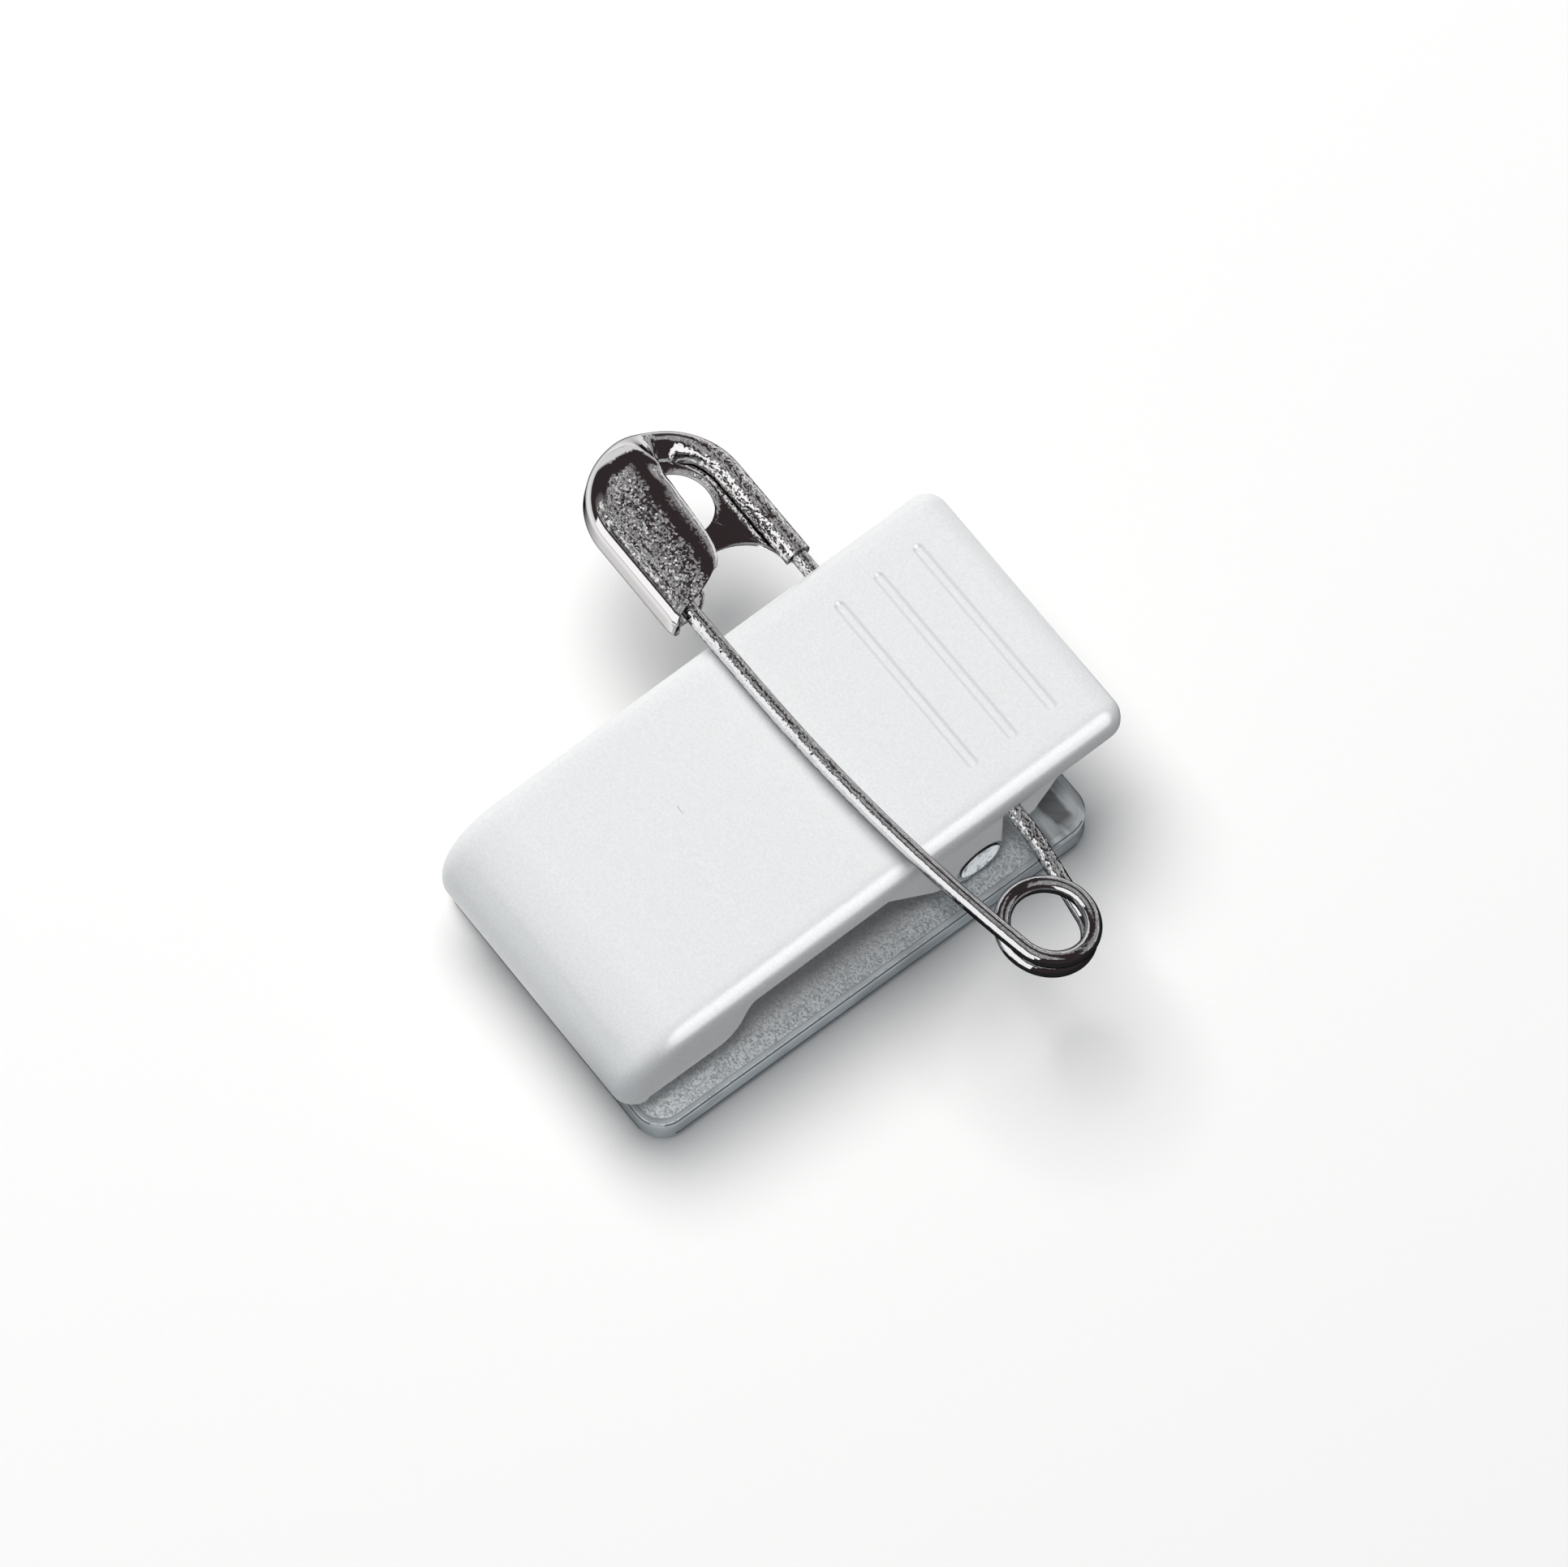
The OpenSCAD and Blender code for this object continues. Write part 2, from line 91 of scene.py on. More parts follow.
# What the metal mirrors: grey bands over a half turn about X, spots on some, and a dark and a lit side
DARK = (0.036, 0.027, 0.029)
BANDS = [
    (0.0, DARK), (0.03, 0.75), (0.17, 0.65), (0.235, DARK), (0.33, DARK), (0.40, 0.62),
    (0.56, 0.55), (0.58, DARK), (0.635, DARK), (0.66, 1.15), (0.97, 1.15), (1.0, 0.1),
]
SPOT_SCALE = 26.0
SPOTS = [(0.40, 0.03), (0.46, 0.25), (0.55, 0.7), (0.63, 2.0)]
SPOTTED = [(0.0, 1.0), (0.19, 1.0), (0.21, 0.0), (0.37, 0.0), (0.39, 1.0), (0.57, 1.0), (0.59, 0.0)]
LEFT_FROM = 0.62
LEFT_LEVELS = [(0.0, 0.85), (0.25, 0.8), (0.33, DARK), (0.7, DARK), (0.85, 0.3)]
RIGHT_FROM = 0.6
FLOOR_COLOUR = (0.905, 0.896, 0.889)
FLOOR_MIRRORED = 0.02
FLOOR_FADE = 0.2
FLOOR_SIZE = 3000.0

# Jaw
NOSE_Y = -8.73
NOSE_Z = 3.76
NOSE_RADIUS = 3.3
NOSE_PAST = 3.0
NOSE_BULGE = 0.12
JAW_PITCH = radians(2.75)
JAW_HALF = 6.5
JAW_EDGE = 1.0
JAW_REAR = 13.3
PLATE_UNDER = 2.3
SKIRT_LOW = 2.0
SKIRT_INNER = 5.6
SKIRT_BACK = 0.9
SKIRT_CORNER = 0.2
SKIRT_RIM = 0.1
JAW_LENGTH = (JAW_REAR - NOSE_Y) / cos(JAW_PITCH) + NOSE_RADIUS * tan(JAW_PITCH)
# The cheek's lower edge, (y, z), and the places along the jaw between which it curves
CHEEK = [
    (-8.73, 3.72), (-7.5, 3.72), (-7.2, 3.76), (-6.95, 3.88), (-6.75, 4.05), (-6.55, 4.27),
    (-6.4, 4.5), (-6.25, 4.83), (-6.12, 5.15), (-5.98, 5.48), (-5.82, 5.75), (-5.6, 5.9),
]
CHEEK_END = -5.45
CHEEK_CURVE = (1.9, 3.5)
SLOT_REACH = 0.6
GROOVES = (7.01, 9.0, 10.99)
GROOVE_HALF = 4.3
GROOVE_FLAT = 0.09
GROOVE_RADIUS = 0.28
GROOVE_REACH = 0.3
GROOVE_DEPTH = 0.10
SCRATCH_X = -1.39
SCRATCH_Y = -3.24
SCRATCH_HALF = 0.19
SCRATCH_THIN = 0.022
# White ears and bite rib: their sides as (y, z) and their places across
EAR_FRONT = [
    (0.6, 7.0), (0.6, 6.35), (0.85, 6.1), (1.195, 5.78), (3.505, 3.2), (4.1, 2.77),
    (4.555, 2.475), (5.19, 2.035),
]
EAR_HOOK = (radians(248), radians(20))
EAR_SLOT_Z = (3.5, 4.5)
EAR_REAR = [
    (7.95, 4.38), (8.365, 4.3), (8.655, 4.38), (8.895, 4.81), (9.445, 5.61), (9.835, 6.315), (10.2, 7.0),
]
EAR_NEAR = 5.35
EAR_FAR = 6.35
RIB = [
    (-11.1, 6.0), (-10.95, 1.62), (-10.9, 1.5), (-10.75, 1.34), (-10.65, 1.32), (-10.45, 1.32),
    (-10.35, 1.34), (-10.2, 1.5), (-10.15, 1.62), (-9.8, 6.3),
]
RIB_HALF = 5.2
PLATE_BEVEL = 0.06

# Pin
SPINE_Y = 7.43
SPINE_Z = 6.35
PIN_TILT = radians(13)
WIRE = 0.36
BORE = 0.41
SPINE_START = -12.1
SPINE_BEND = 6.6
BEND_RADIUS = 12.0
COIL_X = 11.45
COIL_OFFSET = 2.45
COIL_RADIUS = 1.82
COIL_PITCH = 0.75
ARM_EXIT = radians(12.1)
ARM_OFFSET = 5.62
ARM_FAR_X = -4.0
ARM_HEIGHT = 0.43
ARM_LOW_X = -7.0
POINT_X = -13.2
POINT_LENGTH = 2.6
POINT_RADIUS = 0.07
POINT_STEPS = 14
# Pitting of the wire: least, on the back wire and its fading, on the arm and its fading
SMOOTH_PITTING = 0.12
SPINE_PITTING = 1.7
SPINE_FADING = (8.6, 1.5)
SPINE_POINTS = 60
ARM_PITTING = 1.1
ARM_FADING = (1.0, 6.0)

PIVOT_Y = 5.91
PIVOT_Z = 3.05
BOSS_HOLE = 1.15

# Clear base
BASE_HALF_X = 7.28
BASE_HALF_Y = 11.31
BASE_CORNER = 1.3
BASE_EDGE = 0.24
BASE_FOOT = 0.06
BASE_TOP = 1.2
STRIP_FOOT = 8.45
STRIP_START = 8.95
STRIP_TOP = 1.7
BASE_RAILS = [-7.0, -4.0, -1.0, 2.0, 5.0, 7.2, 7.9, STRIP_FOOT, STRIP_START, 9.3]
# Two places closer than this are the same
SAME = 0.001
# Steps down from the rims to the recessed fields: (inset, drop)
RECESS = 0.035
FRONT_RECESS = [(0.05, 0.0), (0.08, 0.5 * RECESS), (0.11, RECESS)]
REAR_RECESS = [(0.05, 0.0), (0.10, RECESS), (0.20, 1.4 * RECESS)]
EAR_INNER = 4.1
EAR_OUTER = 5.1
EAR_RADIUS = 1.9
EAR_FOOT = 0.6
EAR_BEVEL = 0.08
BOSS_RADIUS = 1.05
BOSS_END = 6.34
# The boss's outline: (x, radius)
BOSS = [
    (4.6, BOSS_RADIUS), (BOSS_END - 0.08, BOSS_RADIUS), (BOSS_END - 0.02, BOSS_RADIUS - 0.03),
    (BOSS_END, BOSS_RADIUS - 0.09), (BOSS_END, BOSS_RADIUS - 0.22), (BOSS_END - 0.02, BOSS_RADIUS - 0.30),
]

# Jaw spring
SPRING_WIRE = 0.2
SPRING_RADIUS = 1.15
SPRING_HALF = 1.8
SPRING_TURNS = 3
SPRING_LOW_TIP = 8.4
SPRING_HIGH_TIP = 9.8
SPRING_GAP = 0.06
SPRING_STEPS = 180

# The name of the number that each point of a piece carries
DETAIL = "detail"
# The mix node's sockets for colours: share, under and over, and the result
MIX_INPUTS = (0, 6, 7)
MIX_RESULT = 2


def with_values(made, **values):
    """Sets a thing's properties by name, and gives it."""
    for key, value in values.items():
        setattr(made, key, value)
    return made


def new_object(name, data):
    made = bpy.data.objects.new(name, data)
    bpy.context.scene.collection.objects.link(made)
    return made


def make_camera():
    level = cos(VIEW_ELEVATION)
    back = Vector((sin(VIEW_AZIMUTH) * level, -cos(VIEW_AZIMUTH) * level, sin(VIEW_ELEVATION)))
    data = bpy.data.cameras.new("camera")
    with_values(data, lens=LENS, sensor_width=SENSOR, clip_start=0.01, clip_end=10)
    cam = new_object("camera", data)
    cam.location = (Vector(VIEW_AIM) + back * VIEW_DISTANCE) * MM
    cam.rotation_mode = "QUATERNION"
    cam.rotation_quaternion = (-back).to_track_quat("-Z", "Y")
    bpy.context.scene.camera = cam


def make_area(name, direction, size, power, distance=500.0, colour=(1, 1, 1), aim=(0, 0, 0),
              glossy=False, diffuse=True):
    data = bpy.data.lights.new(name, "AREA")
    with_values(data, shape="DISK", size=size * MM, energy=power, color=colour)
    light = new_object(name, data)
    away = Vector(direction).normalized()
    light.location = (Vector(aim) + away * distance) * MM
    light.rotation_mode = "QUATERNION"
    light.rotation_quaternion = away.to_track_quat("Z", "Y")
    return with_values(light, visible_glossy=glossy, visible_diffuse=diffuse)


class Tree:
    """Adds nodes to a node tree and links them."""

    def __init__(self, tree):
        self.tree = tree

    def add(self, kind, **settings):
        return with_values(self.tree.nodes.new("ShaderNode" + kind), **settings)

    def put(self, socket, value):
        """Links a socket to another node's, or sets its constant value."""
        if isinstance(value, bpy.types.NodeSocket):
            self.tree.links.new(value, socket)
        else:
            socket.default_value = value

    def fill(self, made, values):
        """Sets a node's inputs by name, and gives its outputs."""
        for name, value in values.items():
            self.put(made.inputs[name], value)
        return made.outputs

    def feed(self, made, values):
        """Sets a node's first inputs in order, and gives its outputs."""
        for socket, value in zip(made.inputs, values):
            self.put(socket, value)
        return made.outputs

    def coords(self, kind="Object"):
        return self.add("TexCoord").outputs[kind]

    def split(self, vector):
        return self.fill(self.add("SeparateXYZ"), {"Vector": vector})

    def detail(self):
        return self.add("Attribute", attribute_name=DETAIL).outputs["Fac"]

    def math(self, operation, *values, clamp=False):
        return self.feed(self.add("Math", operation=operation, use_clamp=clamp), values)[0]

    def times(self, first, *others):
        for other in others:
            first = self.math("MULTIPLY", first, other)
        return first

    def most(self, first, *others):
        for other in others:
            first = self.math("MAXIMUM", first, other)
        return first

    def linear(self, value, factor, offset, clamp=False):
        return self.math("MULTIPLY_ADD", value, factor, offset, clamp=clamp)

    # In the next four, the numbers are in millimetres

    def near(self, length, centre, reach):
        return self.math("COMPARE", length, centre * MM, reach * MM)

    def above(self, length, limit):
        return self.math("GREATER_THAN", length, limit * MM)

    def below(self, length, limit):
        return self.math("LESS_THAN", length, limit * MM)

    def fade(self, length, start, end, stops):
        """A ramp over a length, with stops between a start and an end."""
        span = end - start
        share = self.linear(length, 1 / (span * MM), -start / span)
        return self.ramp(share, [((at - start) / span, level) for at, level in stops])

    def vector(self, operation, *values, **named):
        made = self.add("VectorMath", operation=operation)
        self.feed(made, values)
        return self.fill(made, named)[0]

    def ramp(self, factor, stops):
        """Colours or grey levels between stops, each (place, colour or level)."""
        made = self.add("ValToRGB")
        made.color_ramp.interpolation = "LINEAR"
        elements = made.color_ramp.elements
        while len(elements) < len(stops):
            elements.new(0.5)
        for element, (place, level) in zip(elements, stops):
            element.position = place
            colour = level if isinstance(level, tuple) else (level, level, level)
            element.color = (*colour, 1)
        return self.fill(made, {"Fac": factor})[0]

    def mix(self, share, under, over, blend="MIX"):
        made = self.add("Mix", data_type="RGBA", blend_type=blend)
        for slot, value in zip(MIX_INPUTS, (share, under, over)):
            self.put(made.inputs[slot], (*value, 1) if isinstance(value, tuple) else value)
        return made.outputs[MIX_RESULT]

    def noise(self, vector, scale, detail=2.0, rough=0.5):
        values = {"Scale": scale, "Detail": detail, "Roughness": rough, "Vector": vector}
        return self.fill(self.add("TexNoise"), values)["Fac"]

    def cells(self, vector, scale):
        return self.fill(self.add("TexVoronoi"), {"Scale": scale, "Vector": vector})["Color"]

    def mapped(self, vector, scale, turn=(0, 0, 0)):
        made = self.add("Mapping")
        return self.fill(made, {"Scale": scale, "Rotation": turn, "Vector": vector})[0]

    def bump(self, height, strength, distance, under=None):
        """A normal for a height, with its distance in millimetres."""
        values = {"Strength": strength, "Distance": distance * MM, "Height": height}
        if under is not None:
            values["Normal"] = under
        return self.fill(self.add("Bump"), values)[0]

    def mirrored(self):
        """1 for the rays that a mirror sends, and not for those through the clear plastic."""
        path = self.add("LightPath").outputs
        return self.math("SUBTRACT", path["Is Glossy Ray"], path["Is Transmission Ray"], clamp=True)


def make_world():
    world = bpy.data.worlds.new("studio")
    bpy.context.scene.world = world
    world.use_nodes = True
    tree = Tree(world.node_tree)
    place = tree.coords("Generated")
    x, y, z = tree.split(place)
    share = tree.math("DIVIDE", tree.math("ARCTAN2", z, y), pi, clamp=True)
    bands = tree.ramp(share, BANDS)
    # Small dark and light things all round the studio, which break up the grey bands
    spots = tree.ramp(tree.noise(place, SPOT_SCALE, 3.0, 0.6), SPOTS)
    spotted = tree.mix(tree.ramp(share, SPOTTED), bands, spots, "MULTIPLY")
    left = tree.math("GREATER_THAN", tree.times(x, -1.0), LEFT_FROM)
    with_left = tree.mix(left, spotted, tree.ramp(z, LEFT_LEVELS))
    with_right = tree.mix(tree.math("GREATER_THAN", x, RIGHT_FROM), with_left, DARK)
    mirror = tree.fill(tree.add("Background"), {"Color": with_right})
    through = tree.add("LightPath").outputs["Is Transmission Ray"]
    sky = tree.fill(world.node_tree.nodes["Background"], {
        "Color": tree.ramp(z, SKY),
        "Strength": tree.linear(through, SKY_THROUGH - SKY_DIFFUSE, SKY_DIFFUSE),
    })
    mix = tree.feed(tree.add("MixShader"), (tree.mirrored(), sky[0], mirror[0]))
    tree.fill(world.node_tree.nodes["World Output"], {"Surface": mix[0]})


def make_material(name):
    material = bpy.data.materials.new(name)
    material.use_nodes = True
    tree = Tree(material.node_tree)
    return material, tree, material.node_tree.nodes["Principled BSDF"], tree.coords()


def floor_material():
    material, tree, shader, place = make_material("floor_paper")
    # In the metals' reflections the floor is dark, as beyond the edge of a small studio table
    beyond = tree.linear(tree.split(place)[0], FLOOR_FADE / MM, FLOOR_FADE, clamp=True)
    dark = tree.times(tree.mirrored(), beyond)
    tree.fill(shader, {
        "Base Color": tree.ramp(dark, [(0.0, FLOOR_COLOUR), (1.0, FLOOR_MIRRORED)]),
        "Roughness": 0.9,
        "Specular IOR Level": 0.0,
        "Normal": tree.bump(tree.noise(place, 900.0, 3.0), 0.02, 0.1),
    })
    return material


def white_plastic():
    """Finely grained white plastic with painted shade in its grooves, and one small scratch on its top."""
    material, tree, shader, place = make_material("white_plastic")
    x, y, z = tree.split(place)
    grain = tree.noise(place, 9000.0, 3.0, 0.6)
    tone = tree.ramp(grain, [(0.3, (0.705, 0.709, 0.713)), (0.7, (0.785, 0.787, 0.788))])
    # painted shade in the grooves, from each point's number
    tone_with_painted_groove_shade = tree.mix(tree.times(tree.detail(), 0.36), tone, (0.58, 0.585, 0.59))
    bent = tree.linear(tree.noise(place, 2500.0, 1.0), 0.2 * MM, y)
    scratch = tree.times(tree.near(x, SCRATCH_X, SCRATCH_HALF), tree.near(bent, SCRATCH_Y, SCRATCH_THIN),
                         tree.above(z, 7.0))
    tree.fill(shader, {
        "Base Color": tree.mix(scratch, tone_with_painted_groove_shade, (0.52, 0.52, 0.53)),
        "Roughness": 0.3,
        "Subsurface Weight": 0.16,
        "Subsurface Radius": (1.0, 1.0, 1.0),
        "Subsurface Scale": 0.5 * MM,
        "Normal": tree.bump(grain, 0.3, 0.012),
    })
    return material


def frost_grain_and_painted_light(tree, place, across, y):
    """A grain with painted glints on the lit margin beside the jaw, finer and in painted shade under the jaw,
    and in painted shade growing to the rear.
    """
    # painted light and shade: the margin beside the jaw is lit, and the frost under the jaw is in shade
    painted_lit_margin = tree.fade(across, 0.0, 10.0, [(5.2, 0.0), (6.4, 1.0)])
    shade = tree.fill(tree.add("SeparateColor"), {"Color": tree.cells(place, 14000.0)})
    # painted glints: a few grains far lighter than the rest
    grain_with_painted_glints = tree.ramp(shade[0], [(0.0, (0.44, 0.475, 0.495)), (0.5, (0.78, 0.82, 0.84)), (0.8, 1.0)])
    # the frost in painted shade under the jaw, duller and warmer
    dull = tree.ramp(shade[1], [(0.0, (0.60, 0.573, 0.568)), (1.0, (0.75, 0.72, 0.715))])
    uneven = tree.linear(tree.noise(place, 420.0), 5.0 * MM, y)
    # painted shade, growing toward the rear
    painted_rear_shade = tree.fade(uneven, -12.5, 12.5, [(-9.0, 1.0), (-2.5, 0.80), (5.0, 0.62)])
    return tree.mix(1.0, tree.mix(painted_lit_margin, dull, grain_with_painted_glints), painted_rear_shade, "MULTIPLY")


def boss_tone(tree, scratches, y, z):
    """Scratches on the boss's end, with a painted shadow in the gap round its upper side."""
    scratched = tree.ramp(scratches, [(0.38, (0.34, 0.35, 0.36)), (0.46, (0.85, 0.88, 0.9)), (0.55, 1.0)])
    squares = [tree.math("POWER", tree.math("SUBTRACT", value, centre * MM), 2.0)
               for value, centre in ((y, PIVOT_Y + 0.04), (z, PIVOT_Z - 0.16))]
    away = tree.math("SQRT", tree.math("ADD", *squares))
    # painted shadow of the hole's upper rim, dark in the gap above the boss
    painted_gap_shadow = tree.fade(away, 0.0, 2.0, [(0.97, 1.0), (1.0, 0.02)])
    return tree.mix(1.0, scratched, painted_gap_shadow, "MULTIPLY")


def polished_tone(tree, place, across, y, z):
    """Clouds in the thin part, and in the thick strip streaks and a painted shadow of the jaw."""
    clouded = tree.ramp(tree.noise(place, 330.0), [(0.36, (0.58, 0.585, 0.59)), (0.6, (0.88, 0.91, 0.93))])
    streaks = tree.noise(tree.mapped(place, (260.0, 1500.0, 1500.0)), 1.0)
    streaked = tree.ramp(streaks, [(0.38, (0.42, 0.425, 0.43)), (0.58, (0.92, 0.95, 0.97))])
    thick = tree.above(z, 1.4)
    # painted shadow of the jaw on the thick strip, with a wandering edge
    wander = tree.linear(tree.noise(place, 900.0), 0.5 * MM, -0.25 * MM)
    shadow_y = tree.fade(tree.math("ADD", y, wander), 0.0, 20.0,
                         [(9.58, 0.0), (9.74, 1.0), (10.38, 1.0), (10.54, 0.0)])
    shadow_x = tree.fade(tree.math("ADD", across, wander), 0.0, 10.0, [(6.5, 1.0), (6.9, 0.0)])
    painted_jaw_shadow = tree.times(shadow_y, shadow_x, thick, 0.85)
    return tree.mix(painted_jaw_shadow, tree.mix(thick, clouded, streaked), (0.13, 0.12, 0.12))


def clear_plastic():
    """Polished clear plastic, frosted on the flat of the thin part and scratchy on the boss ends, with
    painted light and shade: on the frost, in dark edge lines, and as shadows of the jaw and in the boss's
    gap.
    """
    material, tree, shader, place = make_material("clear_plastic")
    x, y, z = tree.split(place)
    across = tree.math("ABSOLUTE", x)
    along = tree.math("ABSOLUTE", y)
    frost = tree.near(z, BASE_TOP - RECESS, 0.006)
    boss = tree.times(tree.above(across, BOSS_END - 0.05), tree.above(z, 1.9))
    # the step up to the thick strip is dull as well
    step = tree.times(tree.above(z, BASE_TOP + 0.005),
                      tree.near(y, (STRIP_START + STRIP_FOOT) / 2, (STRIP_START - STRIP_FOOT + 0.02) / 2),
                      tree.below(across, BASE_HALF_X - BASE_EDGE))
    etched = tree.most(frost, step, boss)
    # painted shade: dark lines along the top's roundings and the foot of the sides
    top = tree.most(tree.near(z, BASE_TOP - 0.08, 0.025), tree.near(z, STRIP_TOP - 0.08, 0.025))
    by_side, on_side = [
        tree.most(tree.above(across, BASE_HALF_X - inset), tree.above(along, BASE_HALF_Y - inset))
        for inset in (BASE_EDGE, 0.03)]
    edge = tree.most(tree.times(top, by_side), tree.times(on_side, tree.below(z, 0.2)))
    scratches = tree.noise(tree.mapped(place, (900.0, 5200.0, 1500.0), (0.7, 0, 0)), 1.0, 3.0, 0.6)
    polished = tree.mix(edge, polished_tone(tree, place, across, y, z), (0.16, 0.17, 0.18))
    rough = tree.mix(boss, frost_grain_and_painted_light(tree, place, across, y), boss_tone(tree, scratches, y, z))
    waves = tree.bump(tree.noise(place, 700.0), 0.5, 0.1)
    pits = tree.bump(tree.times(tree.noise(place, 6000.0, 2.0, 0.6), frost), 1.0, 0.05, waves)
    tree.fill(shader, {
        "Base Color": tree.mix(etched, polished, rough),
        "Roughness": tree.linear(etched, 0.22, 0.05),
        "Transmission Weight": tree.linear(etched, -0.3, 0.35),
        "Alpha": tree.linear(tree.most(etched, tree.times(edge, 0.8)), 0.26, 0.72),
        "IOR": 1.49,
        "Normal": tree.bump(tree.times(scratches, boss), 1.0, 0.08, pits),
    })
    return material


def metal(name, grey, roughness, cell, slope, uneven):
    """Plated metal with fine pitting: each small cell of its surface is tilted its own way."""
    material, tree, shader, place = make_material(name)
    depth = tree.ramp(tree.noise(place, 0.09 / (cell * MM)), [(0.38, 1 - uneven), (0.62, 1.0)])
    amount = tree.times(depth, tree.detail(), 2 * slope)
    tilt = tree.vector("SUBTRACT", tree.cells(place, 1 / (cell * MM)), (0.5, 0.5, 0.5))
    normal = tree.add("NewGeometry").outputs["Normal"]
    tilted = tree.vector("ADD", normal, tree.vector("SCALE", tilt, Scale=amount))
    tree.fill(shader, {
        "Base Color": (*grey, 1),
        "Metallic": 1.0,
        "Roughness": roughness,
        "Specular Tint": (0, 0, 0, 1),
        "Normal": tree.vector("NORMALIZE", tilted),
    })
    return material


class Shape:
    """Points and faces of one piece, in millimetres, with a number at each point for its detail.

    On metal the number is the strength of the pitting, and on the jaw the painted shade of a groove.
    """

    def __init__(self, tag=1.0):
        self.tag = tag
        self.points = []
        self.faces = []
        self.tags = []

    def grid(self, rows, loop_rows=False, loop_columns=False, tags=None):
        start = len(self.points)
        width = len(rows[0])
        for i, row in enumerate(rows):
            self.points.extend(row)
            self.tags.extend(tags[i] if tags else [self.tag] * width)
        row_count = len(rows) if loop_rows else len(rows) - 1
        column_count = width if loop_columns else width - 1
        for i in range(row_count):
            for j in range(column_count):
                i2 = (i + 1) % len(rows)
                j2 = (j + 1) % width
                self.faces.append((start + i * width + j, start + i * width + j2,
                                   start + i2 * width + j2, start + i2 * width + j))

    def keep(self, points):
        """Adds points, and gives the number of the first."""
        self.points.extend(points)
        self.tags.extend([self.tag] * len(points))
        return len(self.points) - len(points)

    def fan(self, ring, centre):
        start = self.keep([*ring, centre])
        for i in range(len(ring)):
            self.faces.append((start + i, start + (i + 1) % len(ring), start + len(ring)))

    def cover(self, ring):
        """One flat face over a ring."""
        start = self.keep(ring)
        self.faces.append(tuple(range(start, start + len(ring))))

    def finish(self, name, material, merge, sharp, solid=0.0, bevel=0.0):
        """Makes the piece: points nearer than merge are one, and edges above sharp degrees are hard."""
        mesh = bpy.data.meshes.new(name)
        mesh.from_pydata([Vector(p) * MM for p in self.points], [], self.faces)
        mesh.attributes.new(DETAIL, "FLOAT", "POINT").data.foreach_set("value", self.tags)
        made = new_object(name, mesh)
        clean(mesh, merge, True)
        if solid:
            thick = made.modifiers.new("solid", "SOLIDIFY")
            with_values(thick, thickness=solid * MM, offset=0.0, use_even_offset=False)
        if bevel:
            soft = made.modifiers.new("edge", "BEVEL")
            with_values(soft, width=bevel * MM, segments=2, limit_method="ANGLE", angle_limit=radians(50))
        apply_modifiers(made)
        set_smooth(made, sharp)
        made.data.materials.append(material)
        return made


def clean(mesh, merge, flatten):
    """Joins near points and turns all faces outward; flatten also drops edges and faces of no size."""
    work = bmesh.new()
    work.from_mesh(mesh)
    bmesh.ops.remove_doubles(work, verts=work.verts, dist=merge * MM)
    if flatten:
        bmesh.ops.dissolve_degenerate(work, edges=work.edges, dist=merge * MM)
    bmesh.ops.recalc_face_normals(work, faces=work.faces)
    work.to_mesh(mesh)
    work.free()


def shown_mesh(made):
    bpy.context.view_layer.update()
    return bpy.data.meshes.new_from_object(made.evaluated_get(bpy.context.evaluated_depsgraph_get()))


def apply_modifiers(made):
    mesh = shown_mesh(made)
    made.modifiers.clear()
    made.data = mesh


def set_smooth(made, sharp):
    work = bmesh.new()
    work.from_mesh(made.data)
    for face in work.faces:
        face.smooth = True
    limit = radians(sharp)
    for edge in work.edges:
        edge.smooth = len(edge.link_faces) == 2 and edge.calc_face_angle(0) < limit
    work.to_mesh(made.data)
    work.free()


def join(name, objects):
    for made in bpy.context.scene.objects:
        made.select_set(made in objects)
    bpy.context.view_layer.objects.active = objects[0]
    bpy.ops.object.join()
    objects[0].name = name
    return objects[0]


def steps(start, end, count):
    return [start + (end - start) * i / count for i in range(count + 1)]


def arc(a, b, radius, turns):
    return [(a + radius * cos(turn), b + radius * sin(turn)) for turn in turns]


def ease(t):
    t = min(max(t, 0.0), 1.0)
    return t * t * (3 - 2 * t)


def lerp(a, b, t):
    return a + (b - a) * t


def rise(value, start, span):
    return ease((value - start) / span)


def table(rows, t):
    """The values of a table of (t, value, ...) at t."""
    for (t0, *before), (t1, *after) in zip(rows, rows[1:]):
        if t <= t1:
            share = max(0.0, (t - t0) / (t1 - t0))
            return [lerp(a, b, share) for a, b in zip(before, after)]
    return rows[-1][1:]


# Turns of a quarter round, and of the skirt's rounded rim
QUARTER = steps(0.0, pi / 2, 8)
RIM_TURNS = [radians(a) for a in (30, 60, 90)]


def in_pin(u, w, h):
    """A place in the pin's own frame: u along its back wire, w toward its arm, h square to it."""
    return Vector((
        u,
        SPINE_Y - w * cos(PIN_TILT) + h * sin(PIN_TILT),
        SPINE_Z + w * sin(PIN_TILT) + h * cos(PIN_TILT),
    ))


def sweep(shape, path, radii, up, sides, tags=None):
    """A round wire through a list of points, closed with round ends."""
    last = len(path) - 1
    rings = []
    for i, point in enumerate(path):
        ahead = (path[min(i + 1, last)] - path[max(i - 1, 0)]).normalized()
        across = up.cross(ahead).normalized()
        over = ahead.cross(across)
        ring = []
        for k in range(sides):
            turn = 2 * pi * k / sides
            ring.append(point + radii[i] * (cos(turn) * across + sin(turn) * over))
        rings.append(ring)
    shape.grid(rings, loop_columns=True, tags=[[tag] * sides for tag in tags] if tags else None)
    shape.fan(rings[0], path[0])
    shape.fan(rings[-1], path[-1])


